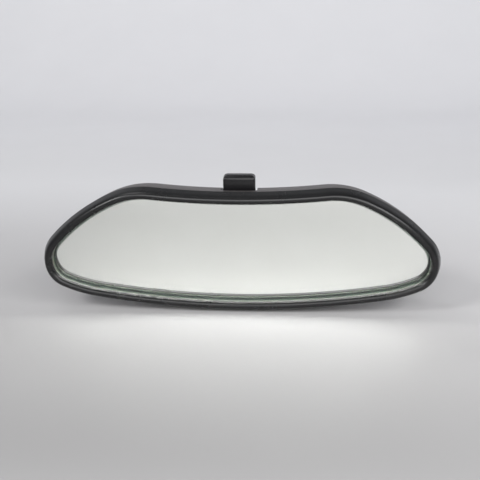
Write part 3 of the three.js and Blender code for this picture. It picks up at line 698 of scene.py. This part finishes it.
def silver_coat():
    """Silver on the side that faces the glass, grey lacquer behind it."""
    edge = glass_inset + ARRIS
    painted_reflection_band = 2
    made = skin([
        loop(edge + painted_reflection_band, lambda z: glass_rear(z) + COAT_GAP),
        loop(edge, lambda z: glass_rear(z) + COAT_GAP),
        loop(edge, lambda z: glass_rear(z) + COAT_GAP + COAT_THICKNESS),
    ])
    # The margin attribute is 1 at the silver's edge and 0 from 2 mm in: it marks the band painted with a
    # darker green reflection of the ground edge.
    painted_reflection_mask = made.verts.layers.float.new("margin")
    made.verts.ensure_lookup_table()
    for k, corner in enumerate(made.verts):
        corner[painted_reflection_mask] = 0.0 if k < len(outline) else 1.0
    for face in made.faces:
        face.material_index = 0 if face.normal.y < -0.5 else 1
    piece = as_object("silvering", made)
    piece.data.materials.append(silver_finish)
    piece.data.materials.append(lacquer_finish)
    give(piece, None, "silver", "head", "silver_coat", sharp=20)


# ---- housing


def dome(wall):
    """Loops from the housing's shoulder to the middle of its back."""
    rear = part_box("rear_housing")[1].y / MM - front_y / MM - wall
    inset = SHOULDER_INSET + wall
    loops = []
    for turn in range(0, 91, 5):
        rounding = 1 - cos(radians(turn))
        shrink = [1 - (1 - share) * rounding for share in REAR_FLAT]
        loops.append(loop(inset, SHOULDER_DEPTH + (rear - SHOULDER_DEPTH) * sin(radians(turn)), shrink))
    # Smaller and smaller loops keep the flat back in even faces.
    for share in (0.85, 0.65, 0.45, 0.25, 0.06):
        loops.append(loop(inset, rear, [flat * share for flat in REAR_FLAT]))
    return loops


def housing():
    """The rear shell, with the notch for the tab and the round opening for the stem."""
    lip = 0.4  # chamfer of the front edge
    inside_inset = HOUSING_INSET + HOUSING_WALL
    shell = skin([
        *reversed(dome(HOUSING_WALL)),
        loop(inside_inset, housing_front + lip), loop(inside_inset - lip, housing_front),
        loop(HOUSING_INSET + lip, housing_front), loop(HOUSING_INSET, housing_front + lip),
        *dome(0),
    ])
    piece = as_object("housing", shell)
    corner, notch_rear = 1.2, 60
    outline_xy = [
        (-NOTCH_HALF, notch_rear),
        *arc(corner, 180, 270, 6, (-NOTCH_HALF + corner, NOTCH_FRONT + corner)),
        *arc(corner, 270, 360, 6, (NOTCH_HALF - corner, NOTCH_FRONT + corner)),
        (NOTCH_HALF, notch_rear),
    ]
    notch = prism(outline_xy, head_height, Matrix.Translation(at(0, 0, NOTCH_FLOOR)))
    mouth = APERTURE_INNER + APERTURE_LENGTH * tan(radians(APERTURE_SWING))
    aperture = turned([(0, -1), (APERTURE_INNER, -1), (APERTURE_INNER, 0), (mouth, APERTURE_LENGTH),
                       (0, APERTURE_LENGTH)], 96, along_stem)
    worked(piece, "DIFFERENCE", [notch, aperture])
    softened(piece, 0.35)
    give(piece, housing_finish, "housing_plastic", "head", "rear_housing", sharp=30)


# ---- day/night tab


def tab():
    """The lever: a hub on its pin, a fork slot for the plate, and the rounded tab above."""
    front = TAB_FRONT - pivot.y
    rear = front + TAB_THICKNESS
    section = [
        *arc(HUB_RADIUS, 180, 360, 24),
        (rear + TAB_HEEL[0], TAB_NECK), (rear, TAB_NECK + TAB_HEEL[1]),
        (rear, TAB_REACH + TAB_RISE), (front, TAB_REACH), (front, TAB_NECK),
    ]
    made = prism(section, TAB_WIDTH, upright(-TAB_WIDTH / 2, pivot.y, pivot.z))
    weight = made.edges.layers.float.new("bevel_weight_edge")
    neck = at(0, 0, pivot.z + TAB_NECK + 0.1).z  # just above the neck's corners
    for edge in made.edges:
        heights = [corner.co.z for corner in edge.verts]
        widths = [corner.co.x for corner in edge.verts]
        on_top = min(heights) > neck + TAB_NECK * MM
        if on_top:
            edge[weight] = 1.0
        elif max(heights) > neck:
            edge[weight] = 0.5
        if max(heights) < neck or (abs(widths[0] - widths[1]) > 1 * MM and not on_top):
            edge[weight] = 0.0
    piece = as_object("tab", made)
    bevel = piece.modifiers.new("moulded rounding", "BEVEL")
    bevel.width = TAB_ROUNDING * MM
    bevel.segments = 6
    bevel.limit_method = "WEIGHT"
    settle(piece)
    beyond, roof = 10, HUB_RADIUS + FORK_TOP
    slot = prism([(-beyond, -beyond), (beyond, -beyond), (beyond, roof), (-beyond, roof)], 2 * FORK_HALF,
                 upright(-FORK_HALF, pivot.y, pivot.z))
    link = local(sum((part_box("link_pin")[k] for k in (0, 1)), Vector()) / 2)
    crosswise = Matrix.Rotation(-pi / 2, 4, "Z")
    holes = [
        rod(radius + GAP, -TAB_WIDTH, TAB_WIDTH, 40, Matrix.Translation(at(0, place.y, place.z)) @ crosswise)
        for radius, place in ((PIN_RADIUS, pivot), (LINK_RADIUS, link))
    ]
    worked(piece, "DIFFERENCE", [slot, *holes])
    give(piece, tab_finish, "tab_plastic", "lever", "dip_lever", sharp=40)


# ---- ball joint, stem and foot


def ball_points(radius, start, end, step=4):
    """A sphere's profile between two angles from the stem's direction."""
    count = max(2, ceil(abs(end - start) / step))
    turns = [radians(start + (end - start) * k / count) for k in range(count + 1)]
    return [(max(0.0, radius * sin(t)), radius * cos(t)) for t in turns]


def spread(node, place):
    """The lowest and highest corners of a node, in millimetres in a place's own frame."""
    corners = [place.inverted() @ corner.co / MM for corner in nodes[node].data.vertices]
    return [Vector([pick(corner[k] for corner in corners) for k in range(3)]) for pick in (min, max)]


stem_end = spread("ball_stem", along_stem)[1].y
sleeve_end = spread("stem_sleeve", along_stem)[1].y
boss_start = sleeve_end + GAP
set_screw_depth = (local(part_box("set_screw")[0]).y + local(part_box("set_screw")[1]).y) / 2


def stem():
    """Ball, waisted neck, shank and the thinner spigot that the foot holds, turned in one piece."""
    neck_angle = degrees(asin(NECK_RADIUS / BALL_RADIUS))
    chamfer = 0.8
    profile = [
        *ball_points(BALL_RADIUS, 180, neck_angle),
        (NECK_RADIUS, NECK_END),
        (SHANK_RADIUS - chamfer, SHANK_START - chamfer / 2), (SHANK_RADIUS, SHANK_START + SHANK_EASE),
        (SHANK_RADIUS, boss_start - GAP), (SPIGOT_RADIUS, boss_start - GAP),
        (SPIGOT_RADIUS, stem_end - chamfer), (SPIGOT_RADIUS - chamfer, stem_end), (0, stem_end),
    ]
    piece = as_object("stem", turned(profile, 72, along_stem))
    give(piece, plated_finish, "steel", "mount", "ball_stem")


def sleeve():
    """The moulded tube round the shank: rounded at the ball's end, a little wider at the foot's."""
    inner = SHANK_RADIUS + GAP
    outer = inner + SLEEVE_WALL
    flared = outer + SLEEVE_FLARE
    round_in, round_along = SLEEVE_ROUND
    turns = [radians(t) for t in range(0, 91, 15)]
    mouth = [(outer - round_in + round_in * sin(t), SLEEVE_START + round_along * (1 - cos(t))) for t in turns]
    profile = [
        (inner, SLEEVE_START), *mouth, (flared, sleeve_end - 0.5), (flared - 0.3, sleeve_end),
        (inner, sleeve_end), (inner, SLEEVE_START),
    ]
    piece = as_object("sleeve", turned(profile, 72, along_stem))
    give(piece, housing_finish, "housing_plastic", "mount", "stem_sleeve")


def seats():
    """The two nylon rings that grip the ball, one on each side of its equator."""
    inner = BALL_RADIUS + GAP
    for name, body, start, end in (("rear_ball_seat", "rear_seat_ring", REAR_SEAT_MOUTH, SEAT_EDGE),
                                   ("front_ball_seat", "front_seat_ring", 180 - SEAT_EDGE, FRONT_SEAT_MOUTH)):
        inside = ball_points(inner, start, end)
        outside = ball_points(seat_outer, end, start)
        piece = as_object(name, turned([*inside, *outside, inside[0]], 72, along_stem))
        give(piece, seat_finish, "nylon", body, name.replace("_ball", ""))


def dovetail(margin, low, high, start, length):
    """The button's section, wider at the top, run back from a depth."""
    corners = [(-BUTTON_FACE / 2 - margin, low), (BUTTON_FACE / 2 + margin, low),
               (BUTTON_TOP / 2 + margin, high), (-BUTTON_TOP / 2 - margin, high)]
    return prism(corners, length, Matrix.Translation(at(0, start, 0)) @ Matrix(
        ((1, 0, 0, 0), (0, 0, 1, 0), (0, 1, 0, 0), (0, 0, 0, 1))))


def standing(profile, sides, depth):
    """A profile of (radius, height) turned round an upright axis at a depth."""
    return turned(profile, sides, Matrix.Translation(at(0, depth, 0)) @ Matrix.Rotation(pi / 2, 4, "X"))


def foot():
    """The casting that slides over the button, with a round boss for the stem's spigot."""
    rear = local(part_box("mount_foot")[1]).y
    front = rear - FOOT_LENGTH
    side = [(front, FOOT_LIFT), (rear, FOOT_LIFT), (rear, FOOT_TOP - FOOT_SLOPE),
            (rear - FOOT_HEEL, FOOT_TOP), (front + FOOT_SLOPE, FOOT_TOP), (front, FOOT_TOP - FOOT_SLOPE)]
    piece = as_object("foot", prism(side, 2 * FOOT_HALF_WIDTH, upright(-FOOT_HALF_WIDTH, 0, 0)))
    softened(piece, 1.6, 4)
    edge, shoulder = 0.8, 0.25
    boss_end = stem_end + 6
    girth = FOOT_BOSS_RADIUS
    boss = turned([(0, boss_start), (girth - edge, boss_start), (girth - shoulder, boss_start + shoulder),
                   (girth, boss_start + edge), (girth, boss_end), (0, boss_end)], 96, along_stem)
    worked(piece, "UNION", [boss])
    above = prism([(-FOOT_HALF_WIDTH, front - 10), (FOOT_HALF_WIDTH, front - 10), (FOOT_HALF_WIDTH, rear),
                   (-FOOT_HALF_WIDTH, rear)], 60, Matrix.Translation(at(0, 0, FOOT_LIFT)))
    worked(piece, "INTERSECT", [above])
    spigot = rod(SPIGOT_RADIUS + GAP, boss_start - 5, stem_end + GAP, 64, along_stem)
    button_rear = local(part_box("windscreen_button")[1]).y
    channel = dovetail(GAP, 0, BUTTON_THICKNESS + GAP, front - 5, button_rear + GAP - front + 5)
    hole_radius = SET_SCREW_RADIUS + GAP
    hole = standing([(0, BUTTON_THICKNESS), (hole_radius, BUTTON_THICKNESS), (hole_radius, FOOT_TOP - 0.4),
                     (hole_radius + 0.9, FOOT_TOP + 0.5), (0, FOOT_TOP + 0.5)], 64, set_screw_depth)
    worked(piece, "DIFFERENCE", [spigot, channel, hole])
    softened(piece, 0.2, 2, 50)
    give(piece, casting_finish, "cast_zinc", "mount", "mount_foot", sharp=35)


def button():
    """The sintered button: a dovetail with softened edges."""
    low, high = (local(corner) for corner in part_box("windscreen_button"))
    piece = as_object("button", dovetail(0, 0, BUTTON_THICKNESS, low.y, high.y - low.y))
    softened(piece, 0.4, 3)
    give(piece, button_finish, "button_steel", "mount", "windscreen_button", sharp=40)


def set_screw():
    """A socket set screw with a flat point and rounded thread crests."""
    low, high = (local(corner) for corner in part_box("set_screw"))
    pitch, depth, crest = 0.8, 0.3, 0.15
    point, chamfer = 0.7, 0.6
    outside = SET_SCREW_RADIUS
    root = outside - depth
    crests = []
    height = low.z + pitch
    while height < high.z - 1:
        crests += [(root, height), (outside, height + depth), (outside, height + depth + crest)]
        height += pitch
    profile = [(0, low.z), (outside - point, low.z), *crests, (root, high.z - 0.35),
               (outside - chamfer, high.z), (0, high.z)]
    piece = as_object("foot_set_screw", standing(profile, 48, set_screw_depth))
    floor, above = high.z - 3, high.z + 1
    socket = standing([(0, floor - 0.5), (0.6, floor), (SET_SCREW_SOCKET, floor), (SET_SCREW_SOCKET, above),
                       (0, above)], 6, set_screw_depth)
    worked(piece, "DIFFERENCE", [socket])
    give(piece, plated_finish, "steel", "mount", "set_screw", sharp=40)


def socket_cap():
    """The pressed half of the socket that shows round the ball, with its three lugs."""
    top = FLANGE_GAP + FLANGE_THICKNESS
    flange = socket_outer + FLANGE_WIDTH
    flange_angle = degrees(asin(top / socket_outer))
    profile = [
        *ball_points(socket_inner, CAP_MOUTH, 89), (flange, FLANGE_GAP), (flange, top),
        *ball_points(socket_outer, 90 - flange_angle, CAP_MOUTH),
    ]
    piece = as_object("socket_cap_casting", turned([*profile, profile[0]], 72, along_stem))
    circle = socket_outer + LUG_OFFSET
    turns = [radians(angle) for angle in LUG_ANGLES]
    places = [along_stem @ Matrix.Translation((circle * cos(t) * MM, 0, circle * sin(t) * MM)) for t in turns]
    hole_radius = CAP_SCREW["Shank Radius"] + GAP
    worked(piece, "UNION", [rod(LUG_RADIUS, FLANGE_GAP, top, 40, place) for place in places])
    worked(piece, "DIFFERENCE", [rod(hole_radius, -2, top + 2, 32, place) for place in places])
    softened(piece, 0.25)
    give(piece, casting_finish, "cast_zinc", "plate", "socket_cap")


# ---- screws


def screw_rule():
    """Pan-head screws with a cross recess and a rolled thread: one at every point, along its "axis"."""
    tree = bpy.data.node_groups.new("rolled_thread_screws", "GeometryNodeTree")
    tree.interface.new_socket("Points", in_out="INPUT", socket_type="NodeSocketGeometry")
    for name in CHASSIS_SCREW:
        tree.interface.new_socket(name, in_out="INPUT", socket_type="NodeSocketFloat")
    tree.interface.new_socket("Finish", in_out="INPUT", socket_type="NodeSocketMaterial")
    tree.interface.new_socket("Screws", in_out="OUTPUT", socket_type="NodeSocketGeometry")
    size = add(tree, "NodeGroupInput").outputs
    place = add(tree, "GeometryNodeInputPosition").outputs["Position"]
    apart = add(tree, "ShaderNodeSeparateXYZ", {"Vector": place}).outputs

    # Shank: the thread's crest climbs one pitch a turn, and the two turns nearest the point taper.
    shank = add(tree, "GeometryNodeMeshCylinder", {"Vertices": 18, "Side Segments": 72, "Fill Segments": 1,
                                                   "Radius": size["Shank Radius"], "Depth": size["Length"]})
    angle = add(tree, "ShaderNodeMath", {0: apart["Y"], 1: apart["X"]}, operation="ARCTAN2")
    turns = add(tree, "ShaderNodeMath", {0: angle.outputs[0], 1: 2 * pi}, operation="DIVIDE")
    climb = add(tree, "ShaderNodeMath", {0: apart["Z"], 1: size["Pitch"]}, operation="DIVIDE")
    helix = add(tree, "ShaderNodeMath", {0: climb.outputs[0], 1: turns.outputs[0]}, operation="ADD")
    crest = add(tree, "ShaderNodeMath", {0: helix.outputs[0], 1: 0.5}, operation="PINGPONG")
    thread = add(tree, "ShaderNodeMapRange", {"Value": crest.outputs[0], "From Max": 0.5, "To Min": 0.76,
                                              "To Max": 1.0})
    tip = add(tree, "ShaderNodeMath", {0: size["Length"], 1: 0.5, 2: apart["Z"]}, operation="MULTIPLY_ADD")
    run_out = add(tree, "ShaderNodeMath", {0: size["Pitch"], 1: 2.0}, operation="MULTIPLY")
    taper = add(tree, "ShaderNodeMapRange", {"Value": tip.outputs[0], "From Max": run_out.outputs[0],
                                             "To Min": 0.55, "To Max": 1.0})
    girth = add(tree, "ShaderNodeMath", {0: thread.outputs["Result"], 1: taper.outputs["Result"]},
                operation="MULTIPLY")
    rolled = add(tree, "ShaderNodeCombineXYZ", {"X": girth.outputs[0], "Y": girth.outputs[0], "Z": 1.0})
    moved = add(tree, "ShaderNodeVectorMath", {0: place, 1: rolled.outputs["Vector"]}, operation="MULTIPLY")
    threaded = add(tree, "GeometryNodeSetPosition", {"Geometry": shank.outputs["Mesh"],
                                                     "Position": moved.outputs["Vector"]})
    sink = add(tree, "ShaderNodeMath", {0: size["Length"], 1: -0.49}, operation="MULTIPLY")
    below = add(tree, "ShaderNodeCombineXYZ", {"Z": sink.outputs[0]})
    hung = add(tree, "GeometryNodeTransform", {"Geometry": threaded.outputs["Geometry"],
                                               "Translation": below.outputs["Vector"]})

    # Head: a pan whose side rounds over towards the top, with two crossed slots.
    pan = add(tree, "GeometryNodeMeshCylinder", {
        "Vertices": 36, "Side Segments": 7, "Fill Segments": 1,
        "Radius": size["Head Radius"], "Depth": size["Head Height"]})
    share = add(tree, "ShaderNodeMath", {0: apart["Z"], 1: size["Head Height"]}, operation="DIVIDE")
    risen = add(tree, "ShaderNodeMath", {0: share.outputs[0], 1: 0.5}, operation="ADD")
    cubed = add(tree, "ShaderNodeMath", {0: risen.outputs[0], 1: 3.0}, operation="POWER")
    domed = add(tree, "ShaderNodeMath", {0: cubed.outputs[0], 1: -0.28, 2: 1.0}, operation="MULTIPLY_ADD")
    rounded = add(tree, "ShaderNodeCombineXYZ", {"X": domed.outputs[0], "Y": domed.outputs[0], "Z": 1.0})
    eased = add(tree, "ShaderNodeVectorMath", {0: place, 1: rounded.outputs["Vector"]}, operation="MULTIPLY")
    crowned = add(tree, "GeometryNodeSetPosition", {"Geometry": pan.outputs["Mesh"],
                                                    "Position": eased.outputs["Vector"]})
    size_of_head = add(tree, "ShaderNodeCombineXYZ", {"X": size["Head Radius"], "Y": size["Head Radius"],
                                                      "Z": size["Head Height"]}).outputs["Vector"]
    top = add(tree, "ShaderNodeVectorMath", {0: size_of_head, 1: (0, 0, 0.5)},
              operation="MULTIPLY").outputs["Vector"]
    recessed = add(tree, "GeometryNodeMeshBoolean", {"Mesh 1": crowned.outputs["Geometry"]},
                   operation="DIFFERENCE", solver="MANIFOLD")
    for share_of_head in ((1.1, 0.3, 1.2), (0.3, 1.1, 1.2)):
        blade = add(tree, "ShaderNodeVectorMath", {0: size_of_head, 1: share_of_head}, operation="MULTIPLY")
        slot = add(tree, "GeometryNodeMeshCube", {"Size": blade.outputs["Vector"]})
        raised = add(tree, "GeometryNodeTransform", {"Geometry": slot.outputs["Mesh"], "Translation": top})
        tree.links.new(raised.outputs["Geometry"], recessed.inputs["Mesh 2"])
    seated = add(tree, "GeometryNodeTransform", {"Geometry": recessed.outputs["Mesh"], "Translation": top})
    whole = add(tree, "GeometryNodeMeshBoolean", {"Mesh 2": seated.outputs["Geometry"]}, operation="UNION",
                solver="MANIFOLD")
    tree.links.new(hung.outputs["Geometry"], whole.inputs["Mesh 2"])

    axis = add(tree, "GeometryNodeInputNamedAttribute", {"Name": "axis"}, data_type="FLOAT_VECTOR")
    turned_to = add(tree, "FunctionNodeAlignRotationToVector", {"Vector": axis.outputs["Attribute"]},
                    axis="Z")
    placed = add(tree, "GeometryNodeInstanceOnPoints", {
        "Points": size["Points"], "Instance": whole.outputs["Mesh"],
        "Rotation": turned_to.outputs["Rotation"]})
    solid = add(tree, "GeometryNodeRealizeInstances", {"Geometry": placed.outputs["Instances"]})
    dressed = add(tree, "GeometryNodeSetMaterial", {"Geometry": solid.outputs["Geometry"],
                                                    "Material": size["Finish"]})
    add(tree, "NodeGroupOutput", {"Screws": dressed.outputs["Geometry"]})
    return tree


def screws(name, body, sizes, heads, towards_head, *replaced):
    """One mesh of screws from the undersides of their heads and the direction in which the heads point."""
    data = bpy.data.meshes.new(name)
    data.from_pydata(heads, [], [])
    axis = data.attributes.new("axis", "FLOAT_VECTOR", "POINT")
    axis.data.foreach_set("vector", list(towards_head) * len(heads))
    piece = bpy.data.objects.new(name, data)
    bpy.context.scene.collection.objects.link(piece)
    rule = piece.modifiers.new("screws", "NODES")
    rule.node_group = screw_tree
    for socket in screw_tree.interface.items_tree:
        if socket.name in sizes:
            rule[socket.identifier] = sizes[socket.name] * MM
        elif socket.name == "Finish":
            rule[socket.identifier] = plated_finish
    settle(piece)
    give(piece, plated_finish, "steel", body, *replaced, sharp=40)


def chassis_screws():
    """The four screws that hold the housing, with their heads to the front."""
    names = [f"chassis_screw_{k}" for k in (1, 2, 3, 4)]
    undersides = []
    for name in names:
        low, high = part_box(name)
        depth = low.y + CHASSIS_SCREW["Head Height"] * MM
        undersides.append(((low.x + high.x) / 2, depth, (low.z + high.z) / 2))
    screws("chassis_screws", "head", CHASSIS_SCREW, undersides, (0, -1, 0), *names)


def cap_screws():
    """The three screws that squeeze the ball socket, with their heads on the cap's lugs."""
    names = [f"cap_screw_{k}" for k in (1, 2, 3)]
    undersides = []
    for name in names:
        low, high = spread(name, along_stem)
        under = Vector(((low.x + high.x) / 2, high.y - CAP_SCREW["Head Height"], (low.z + high.z) / 2))
        undersides.append(along_stem @ (under * MM))
    screws("cap_screws", "plate", CAP_SCREW, undersides, along_stem.to_3x3() @ Vector((0, 1, 0)), *names)


screw_tree = screw_rule()

# ---- the rest of the nodes keep their shape


def dress(material, *names):
    """One finish for nodes that keep their shape."""
    for name in names:
        nodes[name].material_slots[0].material = material


bezel()
prism_glass()
silver_coat()
housing()
tab()
stem()
sleeve()
seats()
socket_cap()
foot()
button()
set_screw()
chassis_screws()
cap_screws()
dress(foam_finish, "foam_pad")
dress(chassis_finish, "chassis")
dress(plated_finish, "link_pin", "lever_pin", "hinge_pin", "leaf_rivet")
dress(spring_finish, "detent_leaf", "lever_clip", "hinge_clip", *[f"spring_washer_{k}" for k in (1, 2, 3)])
dress(casting_finish, "pivot_plate")

# ---- studio


def floor_paper():
    """Matt white paper with painted light and shade: greyest in front of the object and at the left, painted
    lighter in front on the right, whitest where it rises behind.
    """
    material, tree, shader, where = finish("paper_matt", {"IOR": 1.45, "Roughness": 0.45})
    apart = add(tree, "ShaderNodeSeparateXYZ", {"Vector": where})
    paper_start, paper_end = -0.4, 0.8
    depth = add(tree, "ShaderNodeMapRange", {"Value": apart.outputs["Y"], "From Min": paper_start,
                                             "From Max": paper_end})
    # Painted shade along the depth: a grey band in front of the object, paler nearer the camera and up the
    # rise.
    painted_shade_ramp = add(tree, "ShaderNodeValToRGB", {"Fac": depth.outputs["Result"]})
    ramp = painted_shade_ramp.color_ramp
    ramp.interpolation = "EASE"
    for place, colour in ((-0.34, "#d9d8d8"), (-0.2, "#a4a3a3"), (-0.1, "#b3b2b2"), (0.02, "#bfbebf"),
                          (0.3, "#dadadc"), (0.75, "#e8e8eb")):
        ramp.elements.new((place - paper_start) / (paper_end - paper_start)).color = linear(colour)
    ramp.elements.remove(ramp.elements[0])
    ramp.elements.remove(ramp.elements[-1])
    # Painted side light and shade: darker at the left and lighter at the right in front of the object, fading
    # out behind it.
    left = add(tree, "ShaderNodeMapRange", {"Value": apart.outputs["Y"], "From Min": 0.0, "From Max": 0.3,
                                            "To Min": 0.75, "To Max": 0.96})
    right = add(tree, "ShaderNodeMapRange", {"Value": apart.outputs["Y"], "From Min": 0.0, "From Max": 0.3,
                                             "To Min": 1.19, "To Max": 1.0})
    painted_side_light = add(tree, "ShaderNodeMapRange", {"Value": apart.outputs["X"], "From Min": -0.3, "From Max": 0.3,
                                             "To Min": left.outputs["Result"],
                                             "To Max": right.outputs["Result"]})
    fibres = add(tree, "ShaderNodeTexNoise", {"Vector": where, "Scale": per_mm(90), "Detail": 2.0})
    drift = add(tree, "ShaderNodeMapRange", {"Value": fibres.outputs["Fac"], "To Min": 0.98, "To Max": 1.02})
    shade = add(tree, "ShaderNodeMath", {0: painted_side_light.outputs["Result"], 1: drift.outputs["Result"]},
                operation="MULTIPLY")
    tone = add(tree, "ShaderNodeVectorMath", {0: painted_shade_ramp.outputs["Color"], 1: shade.outputs[0]},
               operation="MULTIPLY")
    tree.links.new(tone.outputs[0], shader.inputs["Base Color"])
    return material


def sweep():
    """The floor and its curved rise behind the object."""
    half = 1.6
    front, foot_of_rise, radius, top = -1.6, 0.75, 0.5, 1.4
    turns = [radians(t) for t in range(0, 91, 6)]
    rise = [(foot_of_rise + radius * sin(t), radius * (1 - cos(t))) for t in turns]
    profile = [(front, 0.0), *rise, (foot_of_rise + radius, top)]
    made = bmesh.new()
    rows = [[made.verts.new((x, y, z)) for x in (-half, half)] for y, z in profile]
    for near, far in zip(rows, rows[1:]):
        made.faces.new((near[0], near[1], far[1], far[0]))
    piece = as_object("paper_sweep", made)
    piece.data.materials.append(floor_paper())
    piece.data.shade_smooth()


def lamp(name, azimuth, elevation, distance, size, power, target=(0, 0, 0.03)):
    """A soft box in metres; azimuth runs from straight in front towards +X."""
    data = bpy.data.lights.new(name, "AREA")
    data.shape = "RECTANGLE"
    data.size, data.size_y = size
    data.energy = power
    lamp_object = bpy.data.objects.new(name, data)
    bpy.context.scene.collection.objects.link(lamp_object)
    a, e = radians(azimuth), radians(elevation)
    towards = Vector((-sin(a) * cos(e), cos(a) * cos(e), -sin(e)))
    place = Vector(target) - towards * distance
    facing = towards.to_track_quat("-Z", "Y").to_matrix().to_4x4()
    lamp_object.matrix_world = Matrix.Translation(place) @ facing


def camera():
    """A camera 18 degrees above the floor, 4.3 degrees to the right, a little rolled; lengths in mm."""
    azimuth, elevation, roll = radians(4.295), radians(18), radians(-0.699)
    distance = 461.574
    target = at(1.323, 1.7, 48.283)
    back = Vector((sin(azimuth) * cos(elevation), -cos(azimuth) * cos(elevation), sin(elevation)))
    right = (-back).cross(Vector((0, 0, 1))).normalized()
    up = right.cross(-back)
    across = right * cos(roll) + up * sin(roll)
    upward = up * cos(roll) - right * sin(roll)
    data = bpy.data.cameras.new("camera")
    data.lens = 56.25
    data.sensor_width = 36
    data.clip_start = 0.01
    view = bpy.data.objects.new("camera", data)
    bpy.context.scene.collection.objects.link(view)
    turn = Matrix((across, upward, back)).transposed().to_4x4()
    view.matrix_world = Matrix.Translation(target + back * distance * MM) @ turn
    bpy.context.scene.camera = view


def surroundings():
    """Even, slightly cool light from all sides."""
    world = bpy.data.worlds.new("room")
    world.use_nodes = True
    bpy.context.scene.world = world
    world.node_tree.nodes["Background"].inputs["Color"].default_value = linear("#eceef2")
    world.node_tree.nodes["Background"].inputs["Strength"].default_value = 0.26


sweep()
camera()
surroundings()
lamp("front softbox", 10, 31, 1.6, (1.7, 1.0), 19.8)
lamp("left softbox", -50, 38, 1.6, (0.45, 0.4), 11)
lamp("right softbox", 54, 36, 1.6, (0.6, 0.5), 8)
lamp("backdrop softbox", -30, 62, 1.5, (0.8, 0.5), 3.6, target=(-0.3, 0.9, 0.3))

bpy.context.scene.view_settings.view_transform = "Standard"
# Unblurred mirror paths, so that the glass throws its light on the floor.
bpy.context.scene.cycles.blur_glossy = 0
